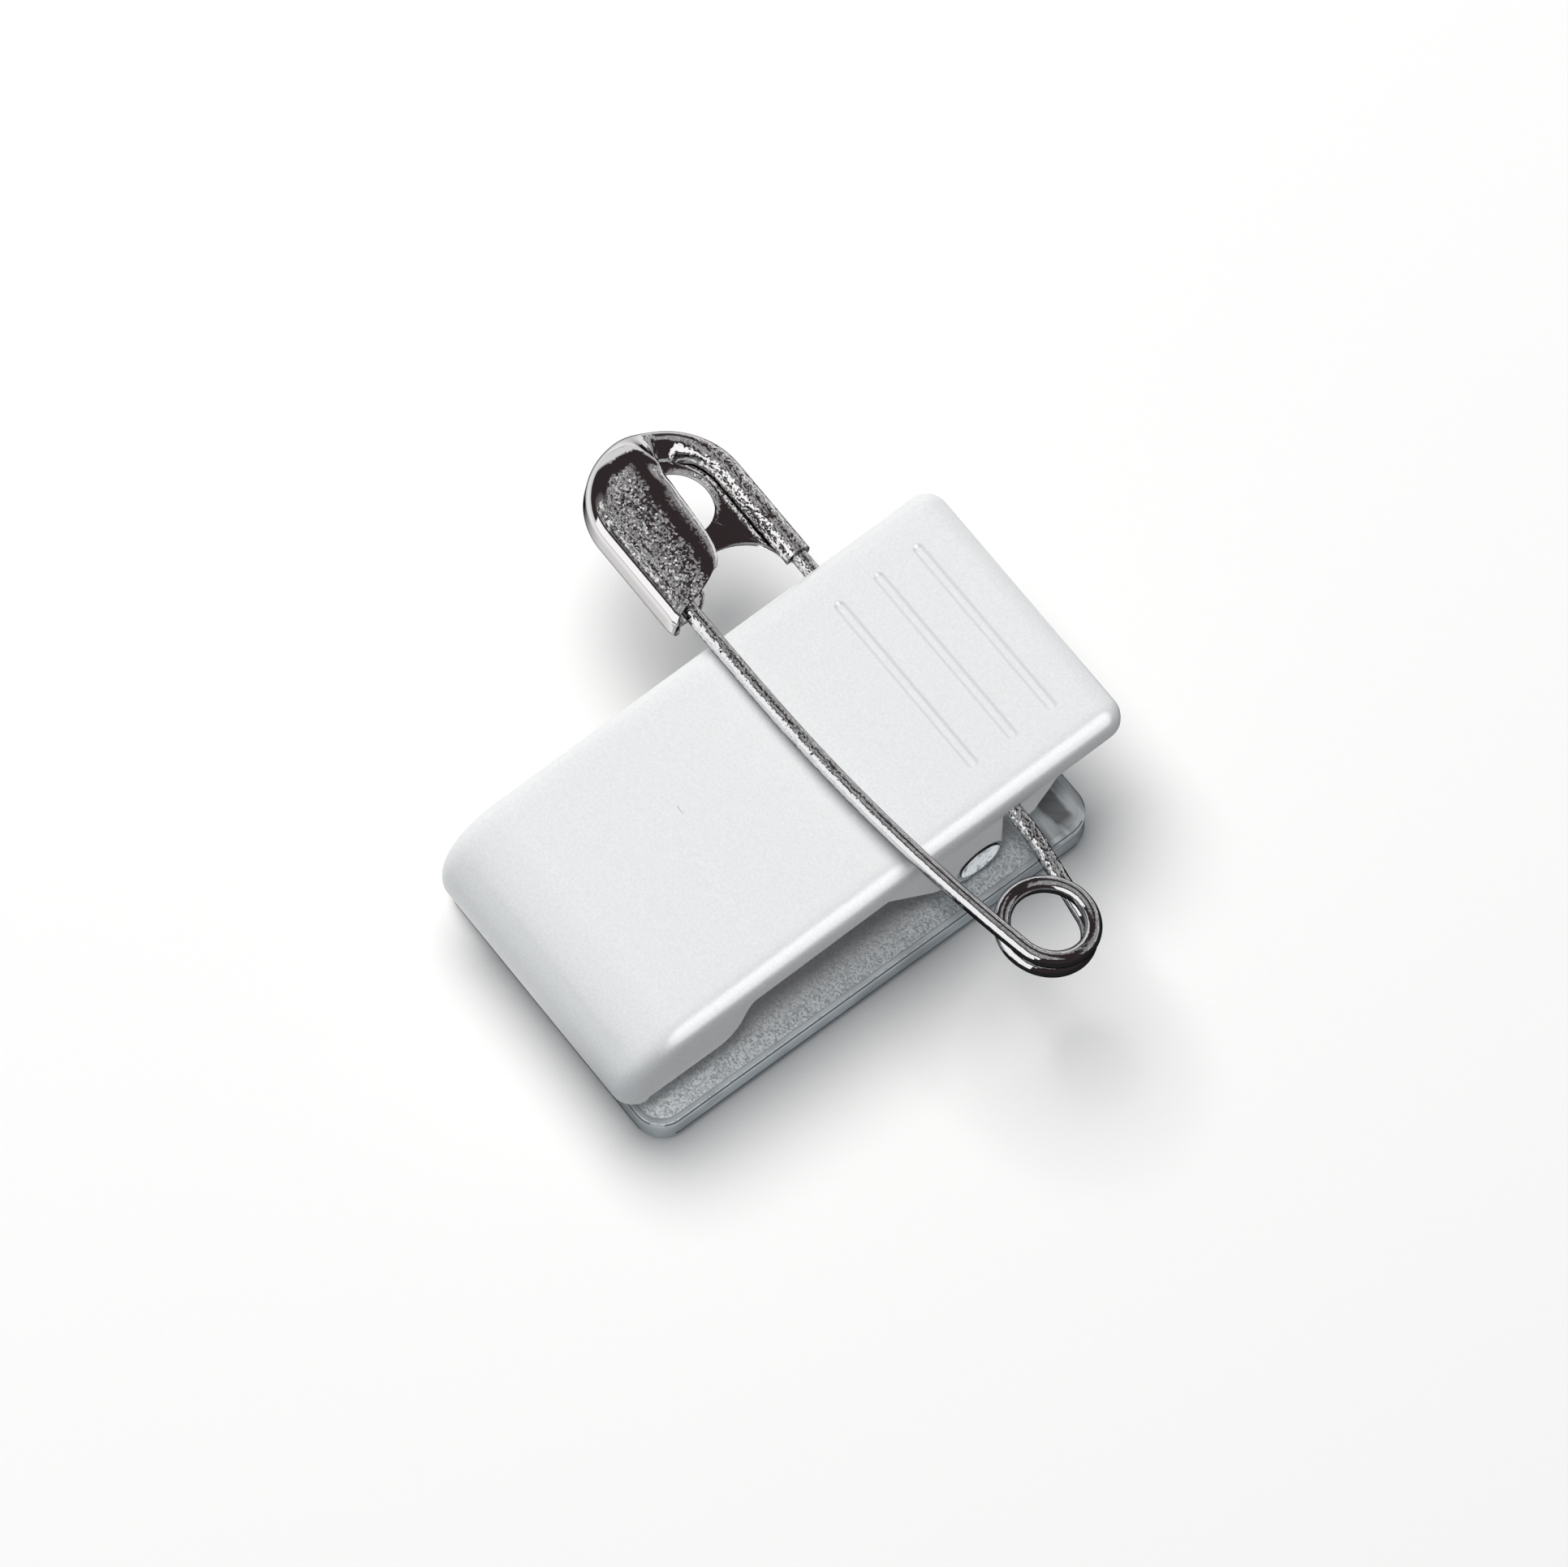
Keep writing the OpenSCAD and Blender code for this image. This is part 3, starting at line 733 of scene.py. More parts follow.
def wire_path():
    to_coil = (COIL_X - SPINE_BEND, BEND_RADIUS - COIL_OFFSET)
    bend = atan2(*to_coil) - acos((BEND_RADIUS - COIL_RADIUS) / hypot(*to_coil))
    first = pi / 2 - bend
    last = -2.5 * pi + ARM_EXIT
    start_x = COIL_X + COIL_RADIUS * cos(last)
    start_offset = COIL_OFFSET - COIL_RADIUS * sin(last)
    start_height = COIL_PITCH * (first - last) / (2 * pi)
    run = start_x - ARM_FAR_X
    drop = ARM_OFFSET - start_offset
    power = tan(ARM_EXIT) * run / drop
    places = [(x, 0.0, 0.0) for x in steps(SPINE_START, SPINE_BEND, 40)[:-1]]
    places += [(SPINE_BEND + BEND_RADIUS * sin(a), BEND_RADIUS * (1 - cos(a)), 0.0)
               for a in steps(0.0, bend, 8)[:-1]]
    places += [(COIL_X + COIL_RADIUS * cos(a), COIL_OFFSET - COIL_RADIUS * sin(a),
                COIL_PITCH * (first - a) / (2 * pi)) for a in steps(first, last, 130)]
    arm = steps(start_x, POINT_X + POINT_LENGTH, 90)[1:]
    arm += steps(POINT_X + POINT_LENGTH, POINT_X, POINT_STEPS)[1:]
    for x in arm:
        w = ARM_OFFSET - drop * (max(x - ARM_FAR_X, 0.0) / run) ** power
        h = ARM_HEIGHT + (start_height - ARM_HEIGHT) * ease((x - ARM_LOW_X) / (start_x - ARM_LOW_X))
        places.append((x, w, h))
    radii = []
    # the plating is pitted on the straight wire and smooth on the coil
    tags = []
    for i, (x, w, h) in enumerate(places):
        left = (x - POINT_X) / POINT_LENGTH
        if i < SPINE_POINTS:
            pitted = SPINE_PITTING * (1 - rise(x, *SPINE_FADING))
        else:
            pitted = ARM_PITTING - rise(x, *ARM_FADING)
        tags.append(pitted + SMOOTH_PITTING)
        tapering = i > len(places) - POINT_STEPS - 2 and left < 1
        radii.append(POINT_RADIUS + (WIRE - POINT_RADIUS) * left ** 0.6 if tapering else WIRE)
    # a slightly rounded end
    radii[0] = WIRE * 0.8
    return [in_pin(*p) for p in places], radii, tags


def make_wire(material):
    shape = Shape()
    path, radii, tags = wire_path()
    up = in_pin(0, 0, 1) - in_pin(0, 0, 0)
    sweep(shape, path, radii, up, 28, tags)
    return shape.finish("pin_wire_drawn", material, merge=0.002, sharp=60)


def make_spring(material):
    def heading(tip, side):
        return atan2(tip[1], tip[0]) + side * asin(SPRING_RADIUS / hypot(*tip))

    low = (SPRING_LOW_TIP - PIVOT_Y, BASE_TOP + SPRING_WIRE + SPRING_GAP - PIVOT_Z)
    top = NOSE_Z + NOSE_RADIUS / cos(JAW_PITCH) + (SPRING_HIGH_TIP - NOSE_Y) * tan(JAW_PITCH)
    thick = (NOSE_RADIUS - PLATE_UNDER + SPRING_WIRE + SPRING_GAP) / cos(JAW_PITCH)
    high = (SPRING_HIGH_TIP - PIVOT_Y, top - thick - PIVOT_Z)
    first = heading(low, 1) - pi / 2
    last = heading(high, -1) + pi / 2 - 2 * pi * (SPRING_TURNS + 1)
    turns = steps(first, last, SPRING_STEPS)
    coil = [(x, SPRING_RADIUS * cos(a), SPRING_RADIUS * sin(a))
            for x, a in zip(steps(-SPRING_HALF, SPRING_HALF, SPRING_STEPS), turns)]
    start = (-SPRING_HALF, *low)
    end = (SPRING_HALF, *high)
    places = [tuple(lerp(p, q, k / 8) for p, q in zip(start, coil[0])) for k in range(8)]
    places += coil
    places += [tuple(lerp(p, q, k / 8) for p, q in zip(coil[-1], end)) for k in range(1, 9)]
    path = [Vector((x, PIVOT_Y + y, PIVOT_Z + z)) for x, y, z in places]
    radii = [SPRING_WIRE] * len(path)
    radii[0] = radii[-1] = SPRING_WIRE * 0.7
    shape = Shape()
    sweep(shape, path, radii, Vector((1, 0, 0)), 16)
    return shape.finish("jaw_spring_coiled", material, merge=0.002, sharp=60)


# The pin's cap, in the pin's own frame
CAP_U = -12.3
CAP_W = 3.05
CAP_RADIUS = 3.6
CAP_FLAT = 0.2
CAP_MOUTH = -7.5
TUBE_MOUTH = -7.6
FOLD_END = radians(114)
SHEET = 0.2
SHEET_MID = 0.11
SHEET_BEVEL = 0.045
BACK_H = -0.42
FOLD_LOW = 0.24
WALL_TOP = 0.35
ARCH_ROUND = 0.44
PRESSED_WALL = 0.08
PRESSED_ARCH = 0.34
# Turns round the arch where something comes in: (start, span)
PRESSED = (radians(84), radians(30))
CREASED = (radians(72), radians(26))
ROUNDED = (radians(20), radians(60))
ROLLED = (radians(124), radians(32))
# The lip's tilt and the place of its crown, by the wall and by the arch
LIP_TILT = (22, 38)
LIP_CROWN = (2.3, 1.45)
LIP_STEPS = 36
LIP_CURL = 0.10
LIP_CURL_REACH = 0.22
FOLD_BEAD = 0.03
RIPPLE = 0.016
MOUTH_REACH = 2.2
MOUTH_LEAN = 0.22
MOUTH_DRAWN = 0.1
MOUTH_DRAWN_REACH = 0.3
HOLE_U = -12.3
HOLE_W = 2.55
HOLE_RADIUS = 1.55
HOLE_DISH = 0.05
HOLE_DISH_REACH = 0.25
MOUTH_DISH = 0.015
MOUTH_DISH_REACH = 0.13
BACK_STEPS = 12
HOLLOW_U = -7.09
HOLLOW_W = 2.7
HOLLOW_RADIUS = 2.66
LIP_EDGE = [
    (0.0, -8.62, 3.8), (0.6, -8.95, 3.5), (1.2, -9.42, 3.3), (2.0, -9.95, 3.18), (3.0, -10.6, 3.11),
    (4.8, -11.8, 3.01), (6.7, -12.4, 2.97), (8.57, -13.0, 2.92), (10.45, -13.65, 2.86),
    (11.1, -13.85, 2.72), (11.97, -13.5, 2.44),
]
# The rolled edge's section, (inward, height): dipping past the fold's end, and full round the wire
TUBE_DIPPED = [
    (0.40, -0.42), (0.20, -0.38), (0.11, -0.20), (0.11, 0.08), (0.17, 0.27), (0.31, 0.36), (0.50, 0.29),
    (0.72, 0.05), (0.90, -0.13), (1.02, -0.24), (1.10, -0.29), (1.18, -0.32),
]
TUBE_MIDDLE = 0.57
TUBE_ROUND = 0.48
TUBE_TURNS = [radians(-90 - a) for a in (0, 30, 60, 85, 110, 135, 160, 190, 220, 250, 275, 297)]
TUBE_FULL = arc(TUBE_MIDDLE, 0.0, TUBE_ROUND, TUBE_TURNS)
# The back sheet's corner by the wall's mouth, (u, w)
HORN = [
    (-8.80, 4.36), (-8.48, 4.33), (-8.18, 4.42), (-7.95, 4.66), (-7.82, 5.00), (-7.76, 5.40), (-7.74, 5.95),
]
HORN_DROP = 0.12
# Pitting of the cap: on the fold, the lip and its edge, the tube's outside, the back, and round the arch
FOLD_PITTING = 0.03
EDGE_PITTING = 0.16
TUBE_PITTING = 0.05
BACK_PITTING = 0.16
ARCH_PITTING = 0.12
ARCH_FADING = (0.0, radians(60))
ARCH_GROWING = (radians(128), radians(45))


def cap_outline(progress, turn):
    """(u, w) of the cap's outer outline and the inward direction there."""
    if turn <= 0:
        return (CAP_MOUTH - progress, CAP_W + CAP_RADIUS), (0.0, -1.0)
    out = (-sin(turn), cos(turn))
    radius = CAP_RADIUS - CAP_FLAT * sin(turn) ** 2
    return (CAP_U + radius * out[0], CAP_W + radius * out[1]), (-out[0], -out[1])


def cap_stations():
    """(progress, turn) from the wall's mouth to the fold's end, and the turns from there to the tube."""
    wall = CAP_MOUTH - CAP_U
    front = [(p, 0.0) for p in steps(0.0, wall, 44)]
    front += [(wall + CAP_RADIUS * a, a) for a in steps(0.0, FOLD_END, 56)[1:]]
    return front, steps(FOLD_END, pi, 48)


def lip_row(progress, turn):
    """The sheet's middle from the back sheet round the fold to the lip's free edge."""
    origin, inward = cap_outline(progress, turn)
    row = []
    # toward its end the fold is lower, dips inward and is creased
    pressed = rise(turn, *PRESSED)
    creased = rise(turn, *CREASED)
    round_end = rise(turn, *ROUNDED)
    # the wall's mouth leans and is drawn in a little
    near_mouth = 1 - ease(progress / MOUTH_REACH)
    drawn = MOUTH_DRAWN * (1 - ease(progress / MOUTH_DRAWN_REACH))
    wall_top = lerp(WALL_TOP, PRESSED_WALL, pressed)
    arch = lerp(ARCH_ROUND, PRESSED_ARCH, pressed)
    tilt = radians(lerp(*LIP_TILT, round_end))
    crown = lerp(*LIP_CROWN, round_end)
    lean = pi / 2 - tilt

    def put(n, h, shift=0.0):
        row.append((origin[0] + inward[0] * (n + drawn) - shift, origin[1] + inward[1] * (n + drawn), h))

    for b in QUARTER:
        put(SHEET_MID + FOLD_LOW - FOLD_LOW * sin(b), BACK_H + FOLD_LOW - FOLD_LOW * cos(b))
    for h in steps(BACK_H + FOLD_LOW, wall_top, 4)[1:]:
        put(SHEET_MID, h)
    for b, shift in list(zip(steps(0.0, lean, 10), steps(0.0, MOUTH_LEAN * near_mouth, 10)))[1:]:
        put(SHEET_MID + arch - arch * cos(b), wall_top + arch * sin(b), shift)
    start = row[-1]
    top = wall_top + arch * sin(lean)
    slope = tan(tilt)
    edge = table(LIP_EDGE, progress)
    reach = hypot(edge[0] - start[0], edge[1] - start[1])
    for t in steps(0.0, 1.0, LIP_STEPS)[1:]:
        # by the mouth the row keeps to the wall's end at first, and curves to the edge later
        late = 0.12 * (1 - exp(-t / 0.08)) + 0.88 * t * t
        u = lerp(start[0], edge[0], lerp(t, late, near_mouth))
        w = lerp(start[1], edge[1], t)
        x = reach * t
        h = top + slope * crown / 2 - slope / (2 * crown) * (x - crown) ** 2
        h += FOLD_BEAD * exp(-((x - 0.5) / 0.12) ** 2) * (1 - round_end)
        h -= LIP_CURL * ease((x - reach + LIP_CURL_REACH) / LIP_CURL_REACH)
        dip = lerp(top + FOLD_BEAD * ease(t / 0.15), BACK_H + SHEET, rise(t, 0.08, 0.9))
        h = lerp(h, dip, pressed)
        ripple = sin(11.0 * w + 1.7 * sin(2.3 * u)) + 0.5 * sin(23.0 * w + 2.0 * u)
        h += RIPPLE * creased * ripple * rise(x, 0.1, 0.4)
        row.append((u, w, h))
    return row


def smooth_line(points, count):
    """A rounded line through points, by a cubic between each two."""
    line = []
    ends = [points[0]] + points + [points[-1]]
    for p0, p1, p2, p3 in zip(ends, ends[1:], ends[2:], ends[3:]):
        for k in range(count):
            t = k / count
            line.append(tuple(
                0.5 * (2 * b + (c - a) * t + (2 * a - 5 * b + 4 * c - d) * t * t
                       + (3 * b - a - 3 * c + d) * t ** 3)
                for a, b, c, d in zip(p0, p1, p2, p3)))
    line.append(points[-1])
    return line


def tube_row(turn, tube_u=None):
    """The sheet's middle past the fold's end, where it rolls up into the tube round the wire."""
    if tube_u is None:
        origin, inward = cap_outline(0.0, turn)
    else:
        origin, inward = (tube_u, CAP_W - CAP_RADIUS), (0.0, 1.0)
    rolled = rise(turn, *ROLLED)
    section = [(lerp(n0, n1, rolled), lerp(h0, h1, rolled))
               for (n0, h0), (n1, h1) in zip(TUBE_DIPPED, TUBE_FULL)]
    return [(origin[0] + inward[0] * n, origin[1] + inward[1] * n, h) for n, h in smooth_line(section, 4)]


def mouth_line():
    """The back sheet's free edge at the mouth, from the tube to the wall."""
    low = asin((TUBE_MOUTH - HOLLOW_U) / HOLLOW_RADIUS)
    start = -pi / 2 + low
    end = pi - asin((HORN[0][1] - HORN_DROP - HOLLOW_W) / HOLLOW_RADIUS) - 2 * pi
    return arc(HOLLOW_U, HOLLOW_W, HOLLOW_RADIUS, steps(start, end, 48)) + smooth_line(HORN, 3)


def make_cap(material):
    shape = Shape()
    front, rear = cap_stations()
    lip = [lip_row(p, a) for p, a in front]
    tube = [tube_row(a) for a in rear]
    tube += [tube_row(pi, u) for u in steps(CAP_U, TUBE_MOUTH, 44)[1:]]
    mouth = mouth_line()
    edge = [row[0] for row in lip] + [row[0] for row in tube[1:]] + [(u, w, BACK_H) for u, w in mouth[1:]]
    on_mouth = len(edge) - len(mouth) + 1
    back = []
    for i, (u, w, h) in enumerate(edge):
        away = Vector((u - HOLE_U, w - HOLE_W)).normalized()
        inner = (HOLE_U + away.x * HOLE_RADIUS, HOLE_W + away.y * HOLE_RADIUS)
        across = hypot(u - inner[0], w - inner[1])
        row = []
        for t in steps(0.0, 1.0, BACK_STEPS):
            low = lerp(BACK_H, h, rise(t, 0.6, 0.4))
            low -= HOLE_DISH * (1 - ease(t * across / HOLE_DISH_REACH))
            if i >= on_mouth:
                most = min(1.0, (i - on_mouth) / 6, (len(edge) - i) / 20)
                low -= MOUTH_DISH * (1 - ease((1 - t) * across / MOUTH_DISH_REACH)) * most
            row.append((lerp(inner[0], u, t), lerp(inner[1], w, t), low))
        back.append(row)
    # along a row: smooth on the fold, pitted on the lip's face or the tube's inside
    lip_tags = [FOLD_PITTING] * (len(lip[0]) - LIP_STEPS)
    for k in range(1, LIP_STEPS + 1):
        lip_tags.append(lerp(FOLD_PITTING, 1.0, rise(k, 2, 6)) * lerp(1.0, EDGE_PITTING, rise(k, 21, 6)))
    tube_tags = [lerp(TUBE_PITTING, 1.0, rise(k, 16, 4)) for k in range(len(tube[0]))]
    back_tags = [BACK_PITTING] * (BACK_STEPS + 1)
    # round the arch the pitting thins out
    lip_shares = [lerp(1.0, ARCH_PITTING, rise(a, *ARCH_FADING)) for p, a in front]
    tube_shares = [lerp(ARCH_PITTING, 1.0, rise(a, *ARCH_GROWING)) for a in rear]
    tube_shares += [1.0] * (len(tube) - len(tube_shares))
    back_shares = [1.0] * len(back)
    for rows, looped, tags, shares in (
            (lip, False, lip_tags, lip_shares),
            (tube, False, tube_tags, tube_shares),
            (back, True, back_tags, back_shares)):
        pitted = [[tag * share for tag in tags] for share in shares]
        shape.grid([[in_pin(*p) for p in row] for row in rows], loop_rows=looped, tags=pitted)
    return shape.finish("pin_cap_sheet", material, merge=0.0015, sharp=40, solid=SHEET, bevel=SHEET_BEVEL)


def in_jaw(x, a, v):
    """A place in the jaw's own frame: a along its top from the nose's centre, v square to it."""
    return Vector((
        x,
        NOSE_Y + a * cos(JAW_PITCH) - v * sin(JAW_PITCH),
        NOSE_Z + a * sin(JAW_PITCH) + v * cos(JAW_PITCH),
    ))


def round_nose(x, a, v, turn):
    """A place v out from the jaw's middle line, turned from up toward the nose."""
    return in_jaw(x, a - v * sin(turn), v * cos(turn))


def groove_depth(x, y):
    deep = 0.0
    for centre in GROOVES:
        away = hypot(max(abs(x) - GROOVE_HALF, 0.0), y - centre)
        deep = max(deep, GROOVE_DEPTH * (1 - rise(away, GROOVE_FLAT, GROOVE_RADIUS - GROOVE_FLAT)))
    return deep


def distinct(values):
    return sorted(set(round(value, 4) for value in values))


def jaw_stations():
    """Places along the jaw's side: (base a, base v, turn), the turn being from up toward the nose."""
    end = pi / 2 - JAW_PITCH + radians(NOSE_PAST)
    stations = [(0.0, turn) for turn in steps(end, 0.0, 30)[:-1]]
    places = steps(0.0, JAW_LENGTH - JAW_EDGE, 90) + steps(*CHEEK_CURVE, 26)
    for centre in GROOVES:
        middle = (centre - NOSE_Y) / cos(JAW_PITCH) + NOSE_RADIUS * tan(JAW_PITCH)
        places += steps(middle - GROOVE_REACH, middle + GROOVE_REACH, 16)
    slot = (SPINE_Y - NOSE_Y) / cos(JAW_PITCH) + SKIRT_LOW * tan(JAW_PITCH)
    places += steps(slot - SLOT_REACH, slot + SLOT_REACH, 24)
    return stations + [(a, 0.0) for a in distinct(places)]


def skirt_bottom(a, turn):
    """The (a, v) place of the skirt's or cheek's lower edge below a station."""
    if turn > 0:
        y = NOSE_Y - (NOSE_RADIUS - JAW_EDGE) * turn / (pi / 2)
        z = CHEEK[0][1]
    else:
        x, y, z = in_jaw(0, a, SKIRT_LOW)
        if y < CHEEK_END:
            start = in_jaw(0, 0, SKIRT_LOW).y
            y = NOSE_Y + (y - start) * (CHEEK_END - NOSE_Y) / (CHEEK_END - start)
            z = min(z, table(CHEEK + [(CHEEK_END, z)], y)[0])
        away = abs(y - SPINE_Y)
        if away < BORE:
            z = max(z, SPINE_Z + sqrt(BORE * BORE - away * away))
    return y, z


def chain(station, side, inner):
    """The line from the edge of the top down the side wall of the jaw, at one station."""
    a, turn = station
    reach = SKIRT_INNER if inner else JAW_HALF
    core = PLATE_UNDER if inner else NOSE_RADIUS - JAW_EDGE
    top = round_nose(0, a, core, turn)
    line = [(reach, top)] * len(QUARTER)
    if not inner:
        line = [(reach - JAW_EDGE + JAW_EDGE * sin(bend), round_nose(0, a, core + JAW_EDGE * cos(bend), turn))
                for bend in QUARTER]
    away = Vector((0, *skirt_bottom(a, turn))) - top
    near = away * (1 - SKIRT_RIM / away.length) if away.length > SKIRT_RIM else away * 0.5
    line += [(reach, top + near * k / 6) for k in range(1, 7)]
    inward = SKIRT_RIM if inner else -SKIRT_RIM
    line += [(reach + inward * (1 - cos(bend)), top + near + (away - near) * sin(bend)) for bend in RIM_TURNS]
    return [Vector((side * x, spot.y, spot.z)) for x, spot in line]


def rear_chain(x, plan_turn, inner, side=0):
    """The same line at the finger end: over x, or round a corner by plan_turn."""
    out = (side * cos(plan_turn), sin(plan_turn))
    # (height, place outward from the corner's or the edge's start)
    if inner:
        a = JAW_LENGTH - SKIRT_BACK
        start = (side * (SKIRT_INNER - SKIRT_CORNER), a - SKIRT_CORNER) if side else (x, a)
        wall = SKIRT_CORNER if side else 0.0
        profile = [(PLATE_UNDER, wall)] * len(QUARTER)
        core = PLATE_UNDER
        rim = SKIRT_RIM
    else:
        start = (side * (JAW_HALF - JAW_EDGE) if side else x, JAW_LENGTH - JAW_EDGE)
        wall = JAW_EDGE
        core = NOSE_RADIUS - JAW_EDGE
        profile = [(core + JAW_EDGE * cos(bend), JAW_EDGE * sin(bend)) for bend in QUARTER]
        rim = -SKIRT_RIM
    profile += [(lerp(core, SKIRT_LOW + SKIRT_RIM, k / 6), wall) for k in range(1, 7)]
    profile += [(SKIRT_LOW + SKIRT_RIM * (1 - sin(bend)), wall + rim * (1 - cos(bend))) for bend in RIM_TURNS]
    return [in_jaw(start[0] + reach * out[0], start[1] + reach * out[1], v) for v, reach in profile]


def top_columns():
    flat = JAW_HALF - JAW_EDGE
    ends = steps(GROOVE_HALF - 0.1, GROOVE_HALF + GROOVE_REACH, 10)
    return distinct(steps(-flat, flat, 44) + ends + [-x for x in ends])


def make_jaw(material):
    shape = Shape(tag=0.0)
    stations = jaw_stations()
    columns = top_columns()
    outer_rows = []
    inner_rows = []
    painted_groove_shades = []
    for a, turn in stations:
        y = in_jaw(0, a, NOSE_RADIUS).y
        depths = [groove_depth(x, y) if turn == 0 else 0.0 for x in columns]
        outer_rows.append([round_nose(x, a, NOSE_RADIUS - depth, turn) for x, depth in zip(columns, depths)])
        inner_rows.append([round_nose(x * SKIRT_INNER / (JAW_HALF - JAW_EDGE), a, PLATE_UNDER, turn)
                           for x in columns])
        # painted shade: a groove is darkest on its slopes
        shares = [depth / GROOVE_DEPTH for depth in depths]
        painted_groove_shades.append([4 * share * (1 - share) + 0.2 * share for share in shares])
    inner_columns = [x * (SKIRT_INNER - SKIRT_CORNER) / (JAW_HALF - JAW_EDGE) for x in columns]
    inner_rows[-1] = [in_jaw(x, JAW_LENGTH - SKIRT_BACK, PLATE_UNDER) for x in inner_columns]
    shape.grid(outer_rows, tags=painted_groove_shades)
    shape.grid(inner_rows)
    # the walls: down the left side, round the finger end and back on the right side
    corner = QUARTER[1:-1]

    def half(side):
        pairs = [[chain(station, side, inner) for inner in (False, True)] for station in stations]
        return pairs + [[rear_chain(0, turn, inner, side) for inner in (False, True)] for turn in corner]

    end = [[rear_chain(x, pi / 2, False), rear_chain(inner_x, pi / 2, True)]
           for x, inner_x in zip(columns, inner_columns)]
    ring = half(-1) + end + half(1)[::-1]
    shape.grid([outer for outer, inner in ring])
    shape.grid([inner for outer, inner in ring])
    shape.grid([[outer[-1], inner[-1]] for outer, inner in ring])
    # the end of the nose, full but flat at both ends, where it meets the cheeks' edges
    outer_end = list(reversed(ring[0][0])) + outer_rows[0][1:-1] + ring[-1][0]
    inner_end = list(reversed(ring[0][1])) + inner_rows[0][1:-1] + ring[-1][1]
    fullness = [min(1.0, (o - i).length) for o, i in zip(outer_end, inner_end)]
    fullness[0] = fullness[-1] = 0.0
    down = Vector((0, 0, -1))
    face = []
    for t in steps(0.0, 1.0, 8):
        bulge = down * NOSE_BULGE * sqrt(max(0.0, 1 - (2 * t - 1) ** 2))
        face.append([lerp(o, i, t) + bulge * full for o, i, full in zip(outer_end, inner_end, fullness)])
    shape.grid(face)
    # the inner corners at the finger end
    for side, column in ((-1, 0), (1, -1)):
        inside = [inner[0] for outer, inner in half(side)[-len(corner) - 1:]]
        shape.cover([inner_rows[-2][column], *inside, inner_rows[-1][column]])
    return shape.finish("jaw_shell", material, merge=0.003, sharp=50)


def plate_between(name, outline, ends, material, bevel):
    """A flat plate square to X with a given side outline, between two places across."""
    low, high = sorted(ends)
    data = bpy.data.curves.new(name, "CURVE")
    with_values(data, dimensions="2D", fill_mode="BOTH", extrude=((high - low) / 2 - bevel) * MM,
                bevel_depth=bevel * MM, bevel_resolution=2, offset=-bevel * MM)
    spline = data.splines.new("POLY")
    spline.points.add(len(outline) - 1)
    for point, (y, z) in zip(spline.points, outline):
        point.co = (y * MM, z * MM, 0, 1)
    spline.use_cyclic_u = True
    made = new_object(name, data)
    mesh = shown_mesh(made)
    bpy.data.objects.remove(made)
    middle = (low + high) / 2 * MM
    for vertex in mesh.vertices:
        y, z, x = vertex.co
        vertex.co = (x + middle, y, z)
    solid = new_object(name, mesh)
    clean(mesh, 0.0005, False)
    set_smooth(solid, 40)
    solid.data.materials.clear()
    solid.data.materials.append(material)
    return solid


def base_ring(inset, below):
    """The base's outline drawn in by inset, each point below the top there by so much."""
    ring = []
    side = BASE_HALF_X - inset
    radius = BASE_CORNER - inset
    middle_x = BASE_HALF_X - BASE_CORNER
    middle_y = BASE_HALF_Y - BASE_CORNER

    def corner(cx, cy, start):
        ring.extend(arc(cx, cy, radius, [radians(turn) for turn in steps(start, start + 90, 12)]))

    corner(-middle_x, -middle_y, 180)
    corner(middle_x, -middle_y, 270)
    ring.extend((side, y) for y in BASE_RAILS)
    corner(middle_x, middle_y, 0)
    corner(-middle_x, middle_y, 90)
    ring.extend((-side, y) for y in reversed(BASE_RAILS))
    return [Vector((x, y, (STRIP_TOP if y >= STRIP_START else BASE_TOP) - below)) for x, y in ring]


def field(shape, rim, drops):
    """Steps down from a flat rim to a flat field, and fills the field."""
    low_y = min(p.y for p in rim)
    high_y = max(p.y for p in rim)
    half = max(p.x for p in rim)
    rows = [rim]
    for inset, drop in drops:
        row = []
        for p in rim:
            x = p.x * (half - inset) / half
            y = low_y + inset + (p.y - low_y) * (high_y - low_y - 2 * inset) / (high_y - low_y)
            row.append(Vector((x, y, p.z - drop)))
        rows.append(row)
    shape.grid(rows, loop_columns=True)
    shape.cover(rows[-1])


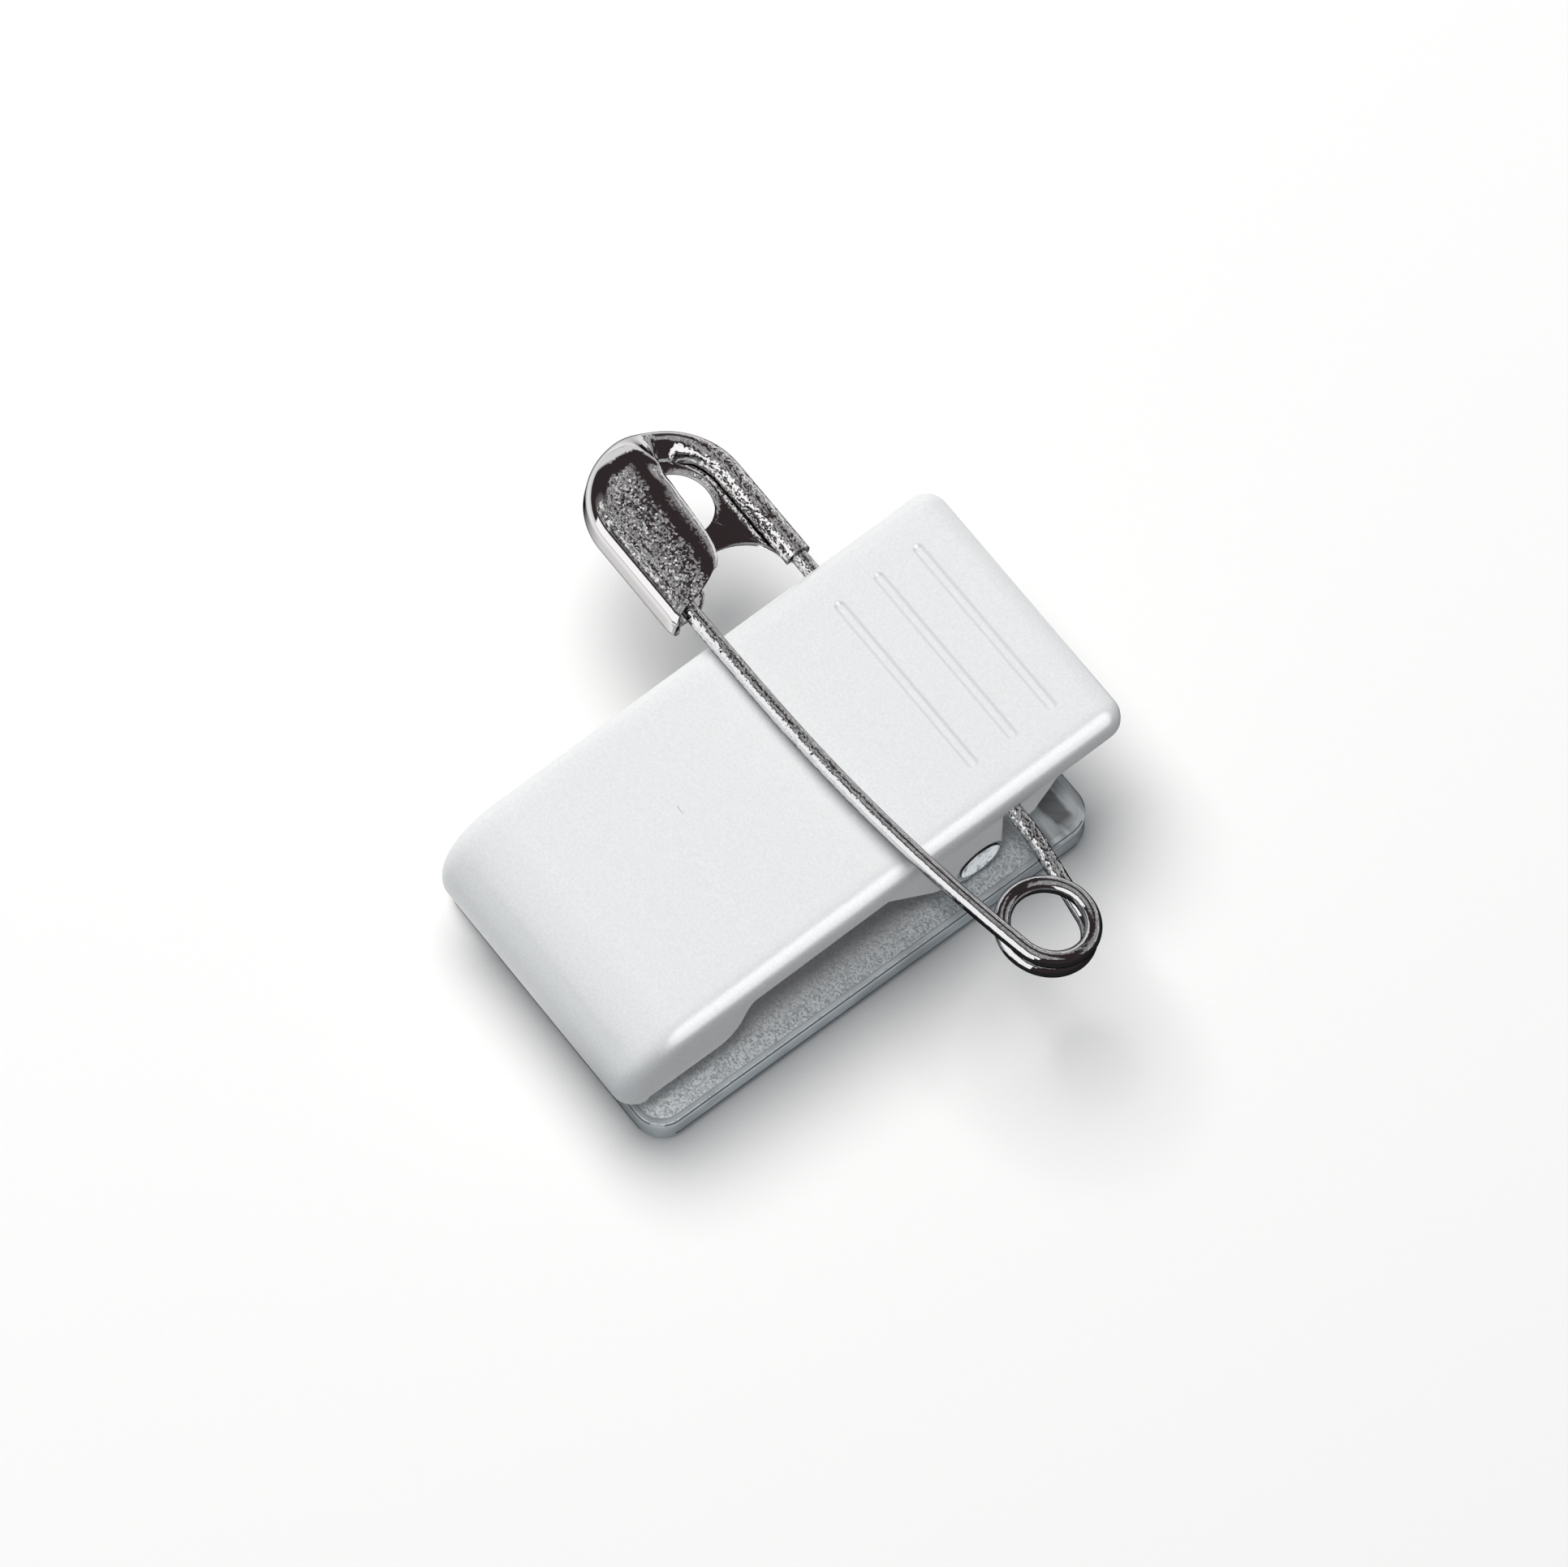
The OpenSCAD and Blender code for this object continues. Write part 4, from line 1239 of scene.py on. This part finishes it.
def make_base(material):
    shape = Shape(tag=0.0)
    rings = [[Vector((p.x, p.y, height)) for p in base_ring(inset, 0.0)]
             for inset, height in ((BASE_FOOT, 0.0), (0.0, BASE_FOOT))]
    for a in QUARTER:
        rings.append(base_ring(BASE_EDGE * (1 - cos(a)), BASE_EDGE * (1 - sin(a))))
    shape.grid(rings, loop_columns=True)
    shape.cover(rings[0])
    rim = rings[-1]
    field(shape, [p for p in rim if p.y <= STRIP_FOOT + SAME], FRONT_RECESS)
    field(shape, [p for p in rim if p.y >= STRIP_START - SAME], REAR_RECESS)
    shape.grid([sorted((p for p in rim if abs(p.y - y) < SAME), key=lambda p: p.x)
                for y in (STRIP_FOOT, STRIP_START)])
    plate = shape.finish("base_plate", material, merge=0.001, sharp=28)
    for side in (-1, 1):
        outline = [(PIVOT_Y - EAR_RADIUS, EAR_FOOT), (PIVOT_Y + EAR_RADIUS, EAR_FOOT)]
        outline += arc(PIVOT_Y, PIVOT_Z, EAR_RADIUS, steps(0.0, pi, 40))
        ends = (side * EAR_INNER, side * EAR_OUTER)
        unite(plate, plate_between("clear_ear", outline, ends, material, EAR_BEVEL))
        boss = Shape()
        circle = steps(0.0, 2 * pi, 48)[:-1]
        rows = [[Vector((side * x, y, z)) for y, z in arc(PIVOT_Y, PIVOT_Z, radius, circle)]
                for x, radius in BOSS]
        boss.grid(rows, loop_columns=True)
        boss.cover(rows[0])
        boss.cover(rows[-1])
        unite(plate, boss.finish("boss", material, merge=0.0005, sharp=28))
    plate.name = "base_moulding"
    set_smooth(plate, 28)
    return plate


def unite(target, other):
    """Joins another closed piece into the target."""
    union = target.modifiers.new("union", "BOOLEAN")
    with_values(union, operation="UNION", solver="EXACT", object=other)
    apply_modifiers(target)
    bpy.data.objects.remove(other)


def ear_outline():
    """The white ear's side: round the open hole for the boss, and round the hole for the back wire."""
    outline = EAR_FRONT + arc(PIVOT_Y, PIVOT_Z, BOSS_HOLE, steps(*EAR_HOOK, 24))
    outline.append((SPINE_Y - BORE, EAR_SLOT_Z[0]))
    outline += arc(SPINE_Y, SPINE_Z, BORE, steps(pi, 0.0, 16))
    return outline + [(SPINE_Y + BORE, EAR_SLOT_Z[1])] + EAR_REAR


make_camera()
make_world()
lights = {name: make_area(name, **settings) for name, settings in LIGHTS.items()}

bpy.context.scene.view_settings.view_transform = "Standard"

bpy.ops.mesh.primitive_plane_add(size=FLOOR_SIZE * MM, location=(0, 0, 0))
floor = bpy.context.object
floor.name = "floor"
floor.data.materials.append(floor_material())

white = white_plastic()
clear = clear_plastic()
base = make_base(clear)
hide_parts("lower_jaw")
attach(base, "base")

nickel_wire = metal("nickel_wire", (0.74, 0.74, 0.75), roughness=0.04, cell=0.09, slope=0.18, uneven=0.6)
nickel_sheet = metal("nickel_sheet", (0.80, 0.79, 0.79), roughness=0.04, cell=0.088, slope=0.235, uneven=0.35)
steel = metal("spring_steel", (0.62, 0.62, 0.63), roughness=0.16, cell=0.1, slope=0.08, uneven=0.3)

spring = make_spring(steel)
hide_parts("jaw_spring")
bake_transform(spring)

wire = make_wire(nickel_wire)
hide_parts("pin_wire")
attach(wire, "pin")

cap = make_cap(nickel_sheet)
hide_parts("pin_cap")
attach(cap, "pin")

jaw = make_jaw(white)
parts = [jaw]
for side in (-1, 1):
    parts.append(plate_between("ear", ear_outline(), (side * EAR_NEAR, side * EAR_FAR), white, PLATE_BEVEL))
parts.append(plate_between("rib", RIB, (-RIB_HALF, RIB_HALF), white, PLATE_BEVEL))
jaw = join("jaw_moulding", parts)
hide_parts("upper_jaw")
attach(jaw, "jaw")

for name, made in (("side", jaw), ("over", base), ("low", base), ("fill", jaw)):
    lit = bpy.data.collections.new("lit_by_" + name)
    lit.objects.link(made)
    lights[name].light_linking.receiver_collection = lit
